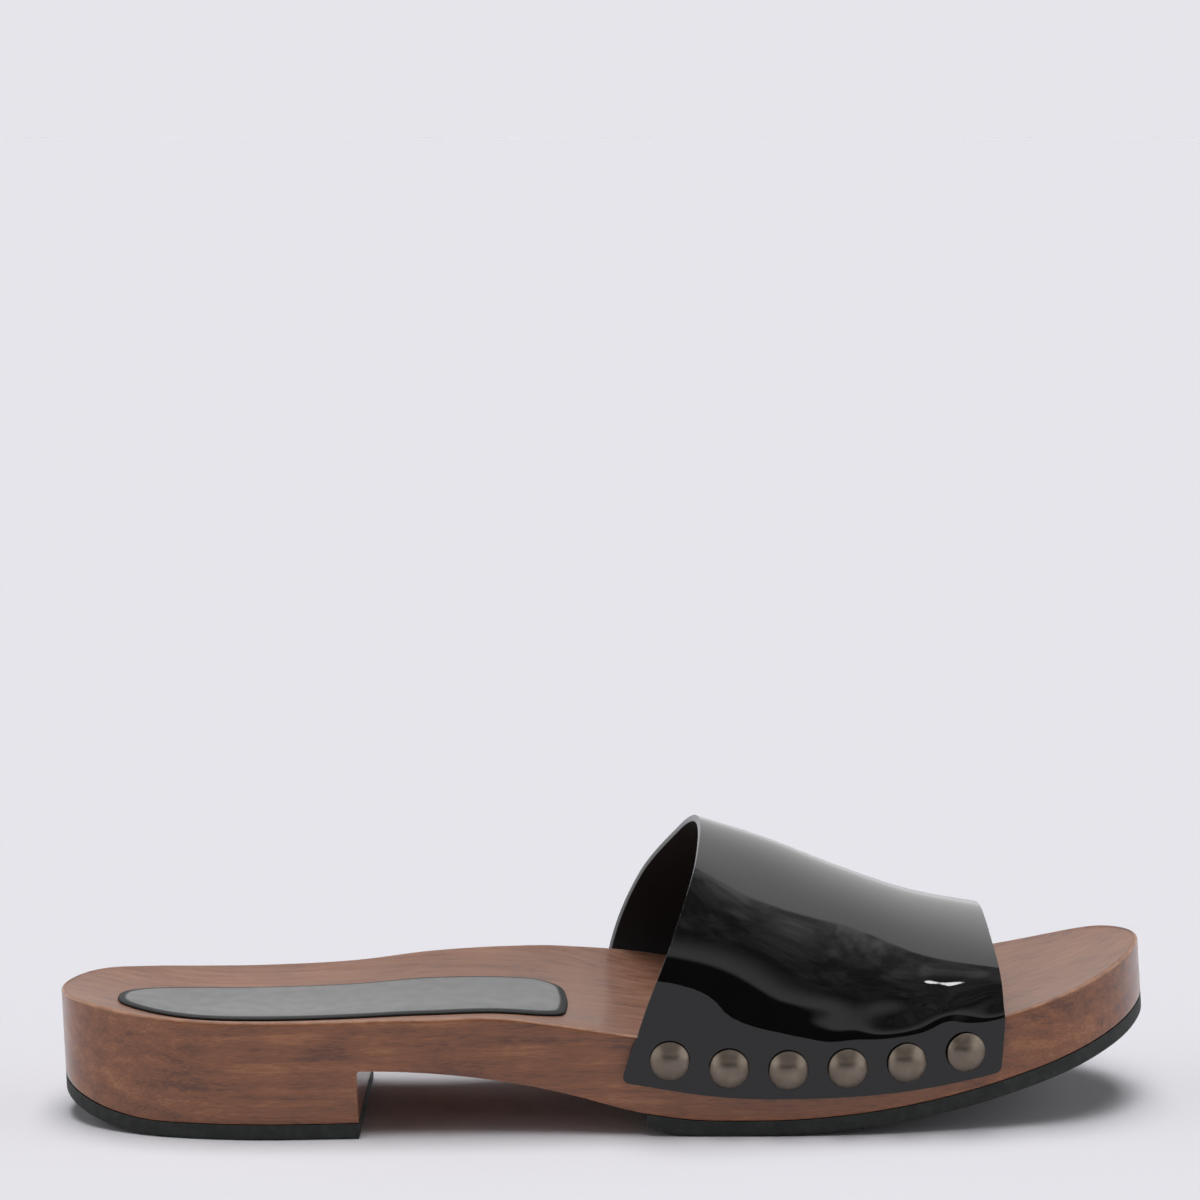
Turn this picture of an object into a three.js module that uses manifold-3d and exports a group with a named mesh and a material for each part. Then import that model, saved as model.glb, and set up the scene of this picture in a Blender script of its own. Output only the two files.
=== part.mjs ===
// A wooden clog slide for the right foot: one carved wooden sole with a low heel, two rubber treads under it,
// a padded leather pad in the heel seat, and one wide leather strap fastened to the sides of the wood by domed studs.
// Millimetres. +X runs forward along the axis of the heel, +Y to the inner (medial) side of the foot, +Z up.
// The origin is on the floor, under the centre of the finished shoe.
import * as THREE from "three";
import { mergeVertices } from "three/addons/utils/BufferGeometryUtils.js";
import Module from "manifold-3d";

const wasm = await Module();
wasm.setup();

// Driving sizes
const SOLE_LENGTH = 261; // back of the heel to the tip of the toe
const BALL_WIDTH = 89; // widest part of the forefoot, between the rims
const HEEL_WIDTH = 65.5; // widest part of the heel, between the rims
const HEEL_HEIGHT = 28.4; // floor to the rim beside the heel
const BALL_HEIGHT = 22.2; // floor to the outer rim beside the ball
const SEAT_DEPTH = 3.8; // how deep the foot sits below the rims in the heel
const BALL_DEPTH = 2.2; // the same in the forefoot
const RIM_RADIUS = 1.4; // rounding of the wood's top edge
const HEEL_DRAFT = 2.2; // degrees that the wall leans in towards the floor at the heel
const TOE_FLARE = 4; // degrees that the wall leans out towards the floor at the toe
const FLARE_START = 0.8; // share of the length from which the lean turns to the flare

// Underside of the wood and the treads
const TREAD_THICKNESS = 3.5;
const TREAD_EDGE = 0.8; // bevel of a tread's lower edge
const FIT_GAP = 0.3; // clearance wherever two pieces lie against each other
const HEEL_LENGTH = 72.6; // back of the heel to the heel breast
const BREAST_LEAN = 0.6; // how far the breast's foot stands in front of its top
const HEEL_ROCKER_RADIUS = 68; // curve that lifts the back of the heel
const HEEL_ROCKER_START = 27; // where that curve starts, from the back
const ARCH_HEIGHT = 16.2; // floor to the underside just in front of the breast
const ARCH_RADIUS = 205; // curve of the underside from the breast to the ball
const ARCH_BLEND_START = 130; // where the arch starts to ease into the flat under the ball
const TREAD_START = 140.6; // back end of the forefoot tread
const TREAD_LEAD = 12; // length over which the tread's back end rises off the floor
const TREAD_LEAD_RISE = 2.5; // how far it has risen there
const TOE_ROCKER_RADIUS = 228; // curve that lifts the toe
const TOE_ROCKER_START = 164.6; // where that curve starts, from the back

// Heel pad
const PAD_EDGE = 0.6; // thickness at its rolled edge
const PAD_CROWN = 1.4; // thickness in its middle
const PAD_SHOULDER = 8; // width over which it swells from edge to crown
const PAD_RINGS = [0.16, 0.5]; // shares of the shoulder at which it has a ring

// Strap
const STRAP_WALL = 1.6; // patent leather and lining together
const STRAP_BACK_CREST = 67.6; // floor to the inside of the strap's top, at its back edge
const STRAP_FRONT_CREST = 44.6; // the same at its front edge
const STRAP_HEM_CORNER = 3; // rounding of the strap's four lower corners

// Studs
const STUD_COUNT = 6; // on each side
const STUD_RADIUS = 4.7;
const STUD_DOME = 2.5; // height of the domed head
const STUD_RIM = 0.5; // height of its straight rim
const STUD_ABOVE_HEM = 7; // stud's centre above the strap's lower edge
const STUD_BACK_MARGIN = 10.9; // back corner of the strap's hem to the first stud's centre
const STUD_FRONT_MARGIN = 8.6; // last stud's centre to the hem's front corner
const SHANK_RADIUS = 0.9; // nail under a stud's head
const SHANK_LENGTH = 7; // underside of the head to the nail's end in the wood

// Fineness of the faceted solids
const SOLE_STATIONS = 52;
const SOLE_COLUMNS = 10;
const TREAD_COLUMNS = 2;
const PAD_STATIONS = 26;
const PAD_COLUMNS = 8;
const STRAP_ALONG = 12;
const STRAP_WALL_ROWS = 3;
const STRAP_ARCH_ROWS = 28;
const STUD_SIDES = 14;
const STUD_DOME_STEPS = 4;
const SHANK_SIDES = 8;
const OUTLINE_SAMPLES = 600;
const CURVE_STEPS = 8;
const RIM_TURNS = [30, 60, 90]; // degrees of the rounded rim at which it has a ring
const HEM_CORNER_STATIONS = [0, 0.12, 0.45, 1]; // shares of a hem corner at which the strap has a station
const SAME_POINT = 1e-4; // points closer than this are one
const PROFILE_GAP = 1e-3; // a profile's points lie further apart than this
const NORMAL_STEP = 1e-3; // share of the strap over which its slope is taken
const CUTTER_REACH = 120; // half width of the blocks that trim the sole
const BLANK_FLOOR = -4; // the uncut wooden blank reaches this far below the floor
const CUTTER_FLOOR = -12; // and the blocks that trim it this far
const CUTTER_ROOF = 60; // height of a block that is taller than the sole

// Outline of the rim seen from above, round from the back of the heel by the outer side to the toe and back.
// along: share of SOLE_LENGTH. across: share of the local width, from the heel's axis, outer side negative.
const SOLE_OUTLINE = [
  { along: 0, across: 0 },
  { along: 0.0107, across: -0.19 },
  { along: 0.0328, across: -0.31 },
  { along: 0.073, across: -0.412 },
  { along: 0.1146, across: -0.47 },
  { along: 0.1819, across: -0.508 },
  { along: 0.3164, across: -0.477 },
  { along: 0.4525, across: -0.385 },
  { along: 0.6019, across: -0.333 },
  { along: 0.7016, across: -0.326 },
  { along: 0.7812, across: -0.303 },
  { along: 0.861, across: -0.254 },
  { along: 0.9295, across: -0.176 },
  { along: 0.9769, across: -0.03 },
  { along: 1, across: 0.2 },
  { along: 0.9849, across: 0.385 },
  { along: 0.9528, across: 0.51 },
  { along: 0.9007, across: 0.592 },
  { along: 0.8211, across: 0.65 },
  { along: 0.7314, across: 0.68 },
  { along: 0.6368, across: 0.636 },
  { along: 0.5341, across: 0.56 },
  { along: 0.4574, across: 0.5 },
  { along: 0.3827, across: 0.472 },
  { along: 0.303, across: 0.478 },
  { along: 0.1824, across: 0.492 },
  { along: 0.1146, across: 0.462 },
  { along: 0.073, across: 0.412 },
  { along: 0.0328, across: 0.31 },
  { along: 0.0107, across: 0.19 },
];

// Heights of the rims above the tread's underside, and how deep the footbed is dished between them.
// outer, inner: share of the local height. dish: share of the local depth.
const SOLE_HEIGHTS = [
  { along: 0, outer: 1.07, inner: 1.07, dish: 0 },
  { along: 0.0293, outer: 1.068, inner: 1.068, dish: 0.32 },
  { along: 0.0689, outer: 1.036, inner: 1.036, dish: 0.72 },
  { along: 0.1216, outer: 1.008, inner: 1.008, dish: 1 },
  { along: 0.1839, outer: 1, inner: 1.005, dish: 1 },
  { along: 0.2632, outer: 1.004, inner: 1.05, dish: 1 },
  { along: 0.3425, outer: 1.02, inner: 1.15, dish: 1 },
  { along: 0.4027, outer: 1.07, inner: 1.22, dish: 1.1 },
  { along: 0.4574, outer: 1.065, inner: 1.26, dish: 1.1 },
  { along: 0.5322, outer: 1.035, inner: 1.23, dish: 1 },
  { along: 0.6316, outer: 1.01, inner: 1.075, dish: 1 },
  { along: 0.7214, outer: 0.98, inner: 1.02, dish: 1 },
  { along: 0.7912, outer: 0.923, inner: 0.97, dish: 0.95 },
  { along: 0.861, outer: 0.881, inner: 0.905, dish: 0.8 },
  { along: 0.9307, outer: 0.855, inner: 0.86, dish: 0.5 },
  { along: 0.9755, outer: 0.832, inner: 0.835, dish: 0.2 },
  { along: 1, outer: 0.8, inner: 0.8, dish: 0 },
];
const DISH_FLATNESS = 2.6; // power of the dish's cross section: higher is flatter in the middle
const HEEL_BLEND_END = 0.303; // up to this share of the length the heel's sizes hold alone
const BALL_BLEND_START = 0.622; // and from this share on the ball's

// Outline of the heel pad. along: share of SOLE_LENGTH. across: share of the footbed's width, outer rim 0, inner rim 1.
const PAD_OUTLINE = [
  { along: 0.0529, across: 0.46 },
  { along: 0.0584, across: 0.33 },
  { along: 0.084, across: 0.26 },
  { along: 0.1216, across: 0.235 },
  { along: 0.1769, across: 0.212 },
  { along: 0.2873, across: 0.212 },
  { along: 0.3977, across: 0.2 },
  { along: 0.4449, across: 0.2 },
  { along: 0.4614, across: 0.24 },
  { along: 0.466, across: 0.34 },
  { along: 0.4655, across: 0.48 },
  { along: 0.459, across: 0.6 },
  { along: 0.439, across: 0.675 },
  { along: 0.412, across: 0.705 },
  { along: 0.3676, across: 0.73 },
  { along: 0.2873, across: 0.755 },
  { along: 0.1769, across: 0.765 },
  { along: 0.1166, across: 0.76 },
  { along: 0.0795, across: 0.7 },
  { along: 0.0594, across: 0.6 },
];

// Edges of the strap, from its outer hem over the foot to its inner hem.
// turn: degrees round the arch, below 0 and above 180 down the walls. back, front: share of SOLE_LENGTH.
const STRAP_EDGES = [
  { turn: -30, back: 0.5172, front: 0.8571 },
  { turn: 0, back: 0.5298, front: 0.8596 },
  { turn: 30, back: 0.5597, front: 0.858 },
  { turn: 60, back: 0.5819, front: 0.8531 },
  { turn: 90, back: 0.5859, front: 0.8514 },
  { turn: 120, back: 0.5699, front: 0.8509 },
  { turn: 150, back: 0.5338, front: 0.8494 },
  { turn: 180, back: 0.5081, front: 0.8454 },
  { turn: 210, back: 0.4951, front: 0.8414 },
];
const WALL_TURN = 30; // how much of the turn column each side wall takes up

// Strap from its back edge (0) to its front edge (1). crest: share of the fall from the back crest to the front crest.
// power: of the sine and cosine in the arch's cross section, where 1 is an ellipse and less is boxier.
// hem: strap's lower edge above the floor at that place, as a share of BALL_HEIGHT, less the rise of the toe rocker.
const STRAP_SECTIONS = [
  { at: 0, crest: 0, power: 1, outerHem: 0.608, innerHem: 0.64 },
  { at: 0.25, crest: 0.265, power: 1.03, outerHem: 0.46, innerHem: 0.5 },
  { at: 0.5, crest: 0.578, power: 1.06, outerHem: 0.415, innerHem: 0.44 },
  { at: 0.75, crest: 0.843, power: 1.08, outerHem: 0.36, innerHem: 0.38 },
  { at: 1, crest: 1, power: 1.08, outerHem: 0.31, innerHem: 0.33 },
];

const radians = THREE.MathUtils.degToRad;
const lerp = THREE.MathUtils.lerp;
const smoothstep = THREE.MathUtils.smoothstep;

// A smooth curve y(x) through the rows of a table, from one of its columns.
function columnCurve(rows, key, column) {
  const xs = rows.map((row) => row[key]);
  const ys = rows.map((row) => row[column]);
  const last = xs.length - 1;
  const slopes = xs.map((_, i) => {
    const before = Math.max(i - 1, 0);
    const after = Math.min(i + 1, last);
    return (ys[after] - ys[before]) / (xs[after] - xs[before]);
  });
  return (x) => {
    const inside = Math.min(Math.max(x, xs[0]), xs[last]);
    let i = 0;
    while (i < last - 1 && inside > xs[i + 1]) i += 1;
    const span = xs[i + 1] - xs[i];
    const t = (inside - xs[i]) / span;
    const fromStart = (1 + 2 * t) * (1 - t) * (1 - t) * ys[i] + t * (1 - t) * (1 - t) * span * slopes[i];
    const fromEnd = t * t * (3 - 2 * t) * ys[i + 1] - t * t * (1 - t) * span * slopes[i + 1];
    return fromStart + fromEnd;
  };
}

// 0 over the heel, 1 over the ball and toe, for sizes that change between them.
const forefootShare = (x) => smoothstep(x / SOLE_LENGTH, HEEL_BLEND_END, BALL_BLEND_START);
const localWidth = (x) => lerp(HEEL_WIDTH, BALL_WIDTH, forefootShare(x));
const localHeight = (x) => lerp(HEEL_HEIGHT, BALL_HEIGHT, forefootShare(x));
const localDepth = (x) => lerp(SEAT_DEPTH, BALL_DEPTH, forefootShare(x));

// Splits a closed outline into its outer and inner sides, as y(x) between the same two ends.
function sidesOf(points) {
  const curve = new THREE.CatmullRomCurve3(
    points.map((p) => new THREE.Vector3(p.x, p.y, 0)),
    true,
    "centripetal",
  );
  const ring = curve.getSpacedPoints(OUTLINE_SAMPLES).slice(0, -1);
  const first = ring.reduce((best, p, i) => (p.x < ring[best].x ? i : best), 0);
  const turned = [...ring.slice(first), ...ring.slice(0, first)];
  const tip = turned.reduce((best, p, i) => (p.x > turned[best].x ? i : best), 0);
  const outer = turned.slice(0, tip + 1);
  const inner = [turned[0], ...turned.slice(tip).reverse()];
  const sideCurve = (side) => (x) => {
    let i = 0;
    while (i < side.length - 2 && side[i + 1].x < x) i += 1;
    const t = THREE.MathUtils.clamp((x - side[i].x) / (side[i + 1].x - side[i].x || 1), 0, 1);
    return lerp(side[i].y, side[i + 1].y, t);
  };
  return { start: outer[0].x, end: outer[tip].x, outer: sideCurve(outer), inner: sideCurve(inner) };
}

// Stations closer together at both ends, so that round ends stay round. Each has x, and y on both sides.
function stationsOf(sides, count) {
  const stations = [];
  for (let k = 0; k <= count; k += 1) {
    const x = lerp(sides.start, sides.end, (1 - Math.cos((Math.PI * k) / count)) / 2);
    stations.push({ x, outer: sides.outer(x), inner: sides.inner(x) });
  }
  stations[0].inner = stations[0].outer;
  stations[count].inner = stations[count].outer;
  return stations;
}

// The closed ring of an outline's stations, outer side first, moved inwards by inset(x) along its own normals.
function insetRing(stations, inset) {
  const last = stations.length - 1;
  const loop = [
    ...stations.map((s) => ({ x: s.x, y: s.outer, side: 0 })),
    ...stations.slice(1, last).reverse().map((s) => ({ x: s.x, y: s.inner, side: 1 })),
  ];
  return loop.map((p, i) => {
    const before = loop[(i + loop.length - 1) % loop.length];
    const after = loop[(i + 1) % loop.length];
    const length = Math.hypot(after.x - before.x, after.y - before.y);
    const by = inset(p.x, p.side);
    return {
      x: p.x - ((after.y - before.y) / length) * by,
      y: p.y + ((after.x - before.x) / length) * by,
      side: p.side,
      stationX: p.x,
    };
  });
}

// A closed solid from rings of 3-D points, lowest first, with a face of stations by columns at each end.
// floor and roof give the height of those two faces at a point.
function slabSolid(rings, columns, floor, roof) {
  const size = rings[0].length;
  const half = size / 2;
  const positions = [];
  const faces = [];
  rings.forEach((ring) => ring.forEach((p) => positions.push(p.x, p.y, p.z)));
  for (let r = 0; r < rings.length - 1; r += 1) {
    for (let i = 0; i < size; i += 1) {
      const next = (i + 1) % size;
      const [a, b, c, d] = [r * size + i, r * size + next, (r + 1) * size + next, (r + 1) * size + i];
      faces.push(a, b, c, a, c, d);
    }
  }
  const addFace = (ringIndex, height, up) => {
    const ring = rings[ringIndex];
    const grid = [];
    for (let k = 0; k <= half; k += 1) {
      const outer = ringIndex * size + k;
      const inner = ringIndex * size + ((size - k) % size);
      if (k === 0 || k === half) {
        grid.push(Array(columns + 1).fill(outer));
        continue;
      }
      const [from, to] = [ring[k], ring[(size - k) % size]];
      const row = [outer];
      for (let j = 1; j < columns; j += 1) {
        const x = lerp(from.x, to.x, j / columns);
        const y = lerp(from.y, to.y, j / columns);
        row.push(positions.length / 3);
        positions.push(x, y, height(x, y));
      }
      row.push(inner);
      grid.push(row);
    }
    for (let k = 0; k < half; k += 1) {
      for (let j = 0; j < columns; j += 1) {
        const [a, b, c, d] = [grid[k][j], grid[k + 1][j], grid[k + 1][j + 1], grid[k][j + 1]];
        const pair = [
          [a, b, c],
          [a, c, d],
        ];
        pair.forEach(([p, q, s]) => {
          if (p === q || q === s || s === p) return;
          if (up) faces.push(p, q, s);
          else faces.push(p, s, q);
        });
      }
    }
  };
  addFace(0, floor, false);
  addFace(rings.length - 1, roof, true);
  return solidFrom(positions, faces);
}

// A solid from a list of coordinates and a list of corner numbers, three to a face.
function solidFrom(positions, faces) {
  const vertProperties = new Float32Array(positions);
  const triVerts = new Uint32Array(faces);
  return new wasm.Manifold(new wasm.Mesh({ numProp: 3, vertProperties, triVerts }));
}

// A three.js geometry as a solid that can be cut and joined.
function solidOf(geometry) {
  const bare = geometry.index ? geometry.toNonIndexed() : geometry.clone();
  bare.deleteAttribute("normal");
  bare.deleteAttribute("uv");
  const merged = mergeVertices(bare, SAME_POINT);
  return solidFrom(merged.attributes.position.array, merged.index.array);
}

function geometryOf(solid) {
  const mesh = solid.getMesh();
  const geometry = new THREE.BufferGeometry();
  geometry.setAttribute("position", new THREE.BufferAttribute(mesh.vertProperties, 3));
  geometry.setIndex(new THREE.BufferAttribute(mesh.triVerts, 1));
  return geometry;
}

// A side profile in x and z, stretched across the whole width of the sole.
function acrossSole(shape) {
  const points = shape.getPoints(CURVE_STEPS);
  const apart = points.filter((p, i) => p.distanceTo(points[(i + 1) % points.length]) > PROFILE_GAP);
  const geometry = new THREE.ExtrudeGeometry(new THREE.Shape(apart), {
    depth: 2 * CUTTER_REACH,
    bevelEnabled: false,
  });
  geometry.rotateX(Math.PI / 2);
  geometry.translate(0, CUTTER_REACH, 0);
  return solidOf(geometry);
}

const outlinePoint = (row) => {
  const x = row.along * SOLE_LENGTH;
  return { x, y: row.across * localWidth(x) };
};
const soleSides = sidesOf(SOLE_OUTLINE.map(outlinePoint));
const soleStations = stationsOf(soleSides, SOLE_STATIONS);

// How far the rounded heel and toe lift the underside off the floor at x, for a surface that lies above it.
function rockerRise(x, above = 0) {
  const [radius, reach] =
    x < HEEL_ROCKER_START
      ? [HEEL_ROCKER_RADIUS - above, HEEL_ROCKER_START - x]
      : [TOE_ROCKER_RADIUS - above, Math.max(x - TOE_ROCKER_START, 0)];
  return radius - Math.sqrt(Math.max(radius * radius - reach * reach, 0));
}

const outerShare = columnCurve(SOLE_HEIGHTS, "along", "outer");
const innerShare = columnCurve(SOLE_HEIGHTS, "along", "inner");
const dishShare = columnCurve(SOLE_HEIGHTS, "along", "dish");
const toeRise = (x) => (x > TOE_ROCKER_START ? rockerRise(x) : 0);

// Height of the rim on the outer (side 0) or inner (side 1) edge.
function rimHeight(x, side) {
  const share = side ? innerShare(x / SOLE_LENGTH) : outerShare(x / SOLE_LENGTH);
  return share * localHeight(x) + toeRise(x);
}

// Height of the dished footbed at any point inside the rim.
function footbedHeight(x, y) {
  const [outer, inner] = [soleSides.outer(x), soleSides.inner(x)];
  const across = THREE.MathUtils.clamp((y - outer) / Math.max(inner - outer, SAME_POINT), 0, 1);
  const dish = dishShare(x / SOLE_LENGTH) * localDepth(x);
  const deep = 1 - Math.pow(Math.abs(2 * across - 1), DISH_FLATNESS);
  return lerp(rimHeight(x, 0), rimHeight(x, 1), across) - dish * deep;
}

// How far the wall has leaned in at a depth below the rim. It leans out at the toe.
function wallInset(x, depth) {
  const degrees = lerp(HEEL_DRAFT, -TOE_FLARE, smoothstep(x / SOLE_LENGTH, FLARE_START, 1));
  return Math.tan(radians(degrees)) * depth;
}

// A ring round the sole's wall at the height that heightOf gives, drawn in by a further inset.
function wallRing(heightOf, further = 0) {
  const ring = insetRing(soleStations, (x, side) => wallInset(x, rimHeight(x, side) - heightOf(x, side)) + further);
  return ring.map((p) => ({ x: p.x, y: p.y, z: heightOf(p.stationX, p.side) }));
}

// y of the sole's wall at x on one side and at height z.
function wallY(x, side, z) {
  const inset = wallInset(x, rimHeight(x, side) - z);
  return side ? soleSides.inner(x) - inset : soleSides.outer(x) + inset;
}

// Side profile of everything below the wood: the rocker at the heel, the breast, the arch and the toe's rocker.
// gap moves it down from the wood by a clearance.
function undersideShape(gap) {
  const seat = TREAD_THICKNESS + FIT_GAP - gap;
  const back = -TREAD_THICKNESS;
  const front = SOLE_LENGTH + TREAD_LEAD;
  const down = -Math.PI / 2;
  const heelRadius = HEEL_ROCKER_RADIUS - seat;
  const toeRadius = TOE_ROCKER_RADIUS - seat;
  const archRadius = ARCH_RADIUS - gap;
  const heelTurn = Math.asin((HEEL_ROCKER_START - back) / heelRadius);
  const toeTurn = Math.asin((front - TOE_ROCKER_START) / toeRadius);
  const archTurn = Math.asin((ARCH_BLEND_START - HEEL_LENGTH) / archRadius);
  const blendHeight = ARCH_HEIGHT - ARCH_RADIUS + archRadius * Math.cos(archTurn);
  const blendKnee = ARCH_BLEND_START + (blendHeight - seat) / Math.tan(archTurn);
  const blendEnd = 2 * blendKnee - ARCH_BLEND_START;
  const shape = new THREE.Shape();
  shape.moveTo(front, CUTTER_FLOOR);
  shape.lineTo(back, CUTTER_FLOOR);
  shape.absarc(HEEL_ROCKER_START, HEEL_ROCKER_RADIUS, heelRadius, down - heelTurn, down, false);
  shape.lineTo(HEEL_LENGTH + BREAST_LEAN, seat);
  shape.lineTo(HEEL_LENGTH, ARCH_HEIGHT - gap);
  shape.absarc(HEEL_LENGTH, ARCH_HEIGHT - ARCH_RADIUS, archRadius, -down, -down - archTurn, true);
  shape.quadraticCurveTo(blendKnee, seat, blendEnd, seat);
  shape.absarc(TOE_ROCKER_START, TOE_ROCKER_RADIUS, toeRadius, down, down + toeTurn, false);
  return shape;
}

function woodenSole() {
  const rings = [
    wallRing(() => BLANK_FLOOR),
    wallRing((x, side) => rimHeight(x, side) - RIM_RADIUS),
  ];
  RIM_TURNS.forEach((degrees) => {
    const turn = radians(degrees);
    const drop = RIM_RADIUS * (1 - Math.sin(turn));
    rings.push(wallRing((x, side) => rimHeight(x, side) - drop, RIM_RADIUS * (1 - Math.cos(turn))));
  });
  const blank = slabSolid(rings, SOLE_COLUMNS, () => BLANK_FLOOR, footbedHeight);
  return blank.subtract(acrossSole(undersideShape(0)));
}

// Rubber under the whole sole, up to the wood, before it is trimmed to the heel or the forefoot.
function treadBlank() {
  const blankTop = (x) => ARCH_HEIGHT + rockerRise(x);
  const rings = [
    wallRing((x) => rockerRise(x), TREAD_EDGE),
    wallRing((x) => rockerRise(x) + TREAD_EDGE),
    wallRing(blankTop),
  ];
  const blank = slabSolid(rings, TREAD_COLUMNS, (x) => rockerRise(x), blankTop);
  return blank.intersect(acrossSole(undersideShape(FIT_GAP)));
}

function heelTread() {
  const shape = new THREE.Shape();
  shape.moveTo(-TREAD_THICKNESS, CUTTER_FLOOR);
  shape.lineTo(HEEL_LENGTH + BREAST_LEAN, CUTTER_FLOOR);
  shape.lineTo(HEEL_LENGTH + BREAST_LEAN, TREAD_THICKNESS);
  shape.lineTo(HEEL_ROCKER_START, TREAD_THICKNESS);
  shape.lineTo(HEEL_ROCKER_START, ARCH_HEIGHT);
  shape.lineTo(-TREAD_THICKNESS, ARCH_HEIGHT);
  return treadBlank().intersect(acrossSole(shape));
}

// The forefoot tread, whose back end rises with the arch.
function forefootTread() {
  const front = SOLE_LENGTH + TREAD_LEAD;
  const flatFrom = TREAD_START + TREAD_LEAD;
  const shape = new THREE.Shape();
  shape.moveTo(TREAD_START, TREAD_LEAD_RISE);
  shape.quadraticCurveTo(TREAD_START + TREAD_LEAD / 3, 0, flatFrom, 0);
  shape.lineTo(flatFrom, CUTTER_FLOOR);
  shape.lineTo(front, CUTTER_FLOOR);
  shape.lineTo(front, CUTTER_ROOF);
  shape.lineTo(TREAD_START, CUTTER_ROOF);
  return treadBlank().intersect(acrossSole(shape));
}

// The padded leather pad that lies in the heel seat.
function heelPad() {
  const planPoint = (row) => {
    const x = row.along * SOLE_LENGTH;
    return { x, y: lerp(soleSides.outer(x), soleSides.inner(x), row.across) };
  };
  const stations = stationsOf(sidesOf(PAD_OUTLINE.map(planPoint)), PAD_STATIONS);
  const floor = (x, y) => footbedHeight(x, y) + FIT_GAP;
  const edgeRing = insetRing(stations, () => 0);
  const distanceToEdge = (x, y) => Math.min(...edgeRing.map((p) => Math.hypot(p.x - x, p.y - y)));
  const roof = (x, y) => {
    const swell = Math.sqrt(1 - (1 - Math.min(distanceToEdge(x, y) / PAD_SHOULDER, 1)) ** 2);
    return floor(x, y) + lerp(PAD_EDGE, PAD_CROWN, swell);
  };
  const ringAt = (inset, height) => {
    const ring = insetRing(stations, () => inset);
    return ring.map((p) => ({ x: p.x, y: p.y, z: height(p.x, p.y) }));
  };
  const middle = PAD_EDGE / 2;
  const bevel = middle / 2;
  const rings = [
    ringAt(bevel, floor),
    ringAt(0, (x, y) => floor(x, y) + middle),
    ringAt(bevel, (x, y) => floor(x, y) + PAD_EDGE),
    ...PAD_RINGS.map((share) => ringAt(share * PAD_SHOULDER, roof)),
  ];
  return slabSolid(rings, PAD_COLUMNS, floor, roof);
}

const strapBack = columnCurve(STRAP_EDGES, "turn", "back");
const strapFront = columnCurve(STRAP_EDGES, "turn", "front");
const crestShare = columnCurve(STRAP_SECTIONS, "at", "crest");
const archPower = columnCurve(STRAP_SECTIONS, "at", "power");
const outerHem = columnCurve(STRAP_SECTIONS, "at", "outerHem");
const innerHem = columnCurve(STRAP_SECTIONS, "at", "innerHem");

const strapX = (at, turn) => SOLE_LENGTH * lerp(strapBack(turn), strapFront(turn), at);
const hemTurn = (side) => (side ? 180 + WALL_TURN : -WALL_TURN);

// Height of the strap's lower edge, with its corners rounded up at both ends.
function hemHeight(at, side) {
  const length = strapX(1, hemTurn(side)) - strapX(0, hemTurn(side));
  const toEnd = Math.min(at, 1 - at) * length;
  const inCorner = Math.max(STRAP_HEM_CORNER - toEnd, 0);
  const corner = STRAP_HEM_CORNER - Math.sqrt(STRAP_HEM_CORNER ** 2 - inCorner ** 2);
  const share = side ? innerHem(at) : outerHem(at);
  return share * BALL_HEIGHT + toeRise(strapX(at, hemTurn(side))) + corner;
}

// A point of the strap's inside face. at: 0 at the back edge, 1 at the front. turn: degrees, as in STRAP_EDGES.
function strapInside(at, turn) {
  const x = strapX(at, turn);
  if (turn <= 0 || turn >= 180) {
    const side = turn >= 180 ? 1 : 0;
    const down = (side ? turn - 180 : -turn) / WALL_TURN;
    const z = lerp(rimHeight(x, side), hemHeight(at, side), down);
    const outward = side ? FIT_GAP : -FIT_GAP;
    return new THREE.Vector3(x, wallY(x, side, z) + outward, z);
  }
  const power = archPower(at);
  const cosine = Math.cos(radians(turn));
  const sideways = Math.sign(cosine) * Math.pow(Math.abs(cosine), power);
  const upward = Math.pow(Math.sin(radians(turn)), power);
  const across = (1 - sideways) / 2;
  const crest = lerp(STRAP_BACK_CREST, STRAP_FRONT_CREST, crestShare(at));
  const rims = lerp(rimHeight(x, 0), rimHeight(x, 1), across);
  const y = lerp(soleSides.outer(x) - FIT_GAP, soleSides.inner(x) + FIT_GAP, across);
  return new THREE.Vector3(x, y, lerp(rims, crest, upward));
}

// Direction out of the strap at a point of its inside face.
function strapNormal(at, turn) {
  const ahead = strapInside(Math.min(at + NORMAL_STEP, 1), turn);
  const along = ahead.sub(strapInside(Math.max(at - NORMAL_STEP, 0), turn));
  const round = strapInside(at, turn + 1).sub(strapInside(at, turn - 1));
  return along.cross(round).normalize();
}

// Turns of the strap's rows: evenly up the outer wall, round the arch and down the inner wall.
function strapTurns() {
  const turns = [];
  for (let i = 0; i < STRAP_WALL_ROWS; i += 1) turns.push(lerp(-WALL_TURN, 0, i / STRAP_WALL_ROWS));
  for (let i = 0; i <= STRAP_ARCH_ROWS; i += 1) turns.push((180 * i) / STRAP_ARCH_ROWS);
  for (let i = 1; i <= STRAP_WALL_ROWS; i += 1) turns.push(lerp(180, 180 + WALL_TURN, i / STRAP_WALL_ROWS));
  return turns;
}

// The strap's stations from back to front, closer together in the rounded corners of its hem.
function strapStations() {
  const corner = STRAP_HEM_CORNER / (strapX(1, hemTurn(0)) - strapX(0, hemTurn(0)));
  const inCorner = HEM_CORNER_STATIONS.map((share) => share * corner);
  const stations = [...inCorner];
  for (let i = 1; i < STRAP_ALONG; i += 1) stations.push(lerp(corner, 1 - corner, i / STRAP_ALONG));
  inCorner.reverse().forEach((at) => stations.push(1 - at));
  return stations;
}

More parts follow.
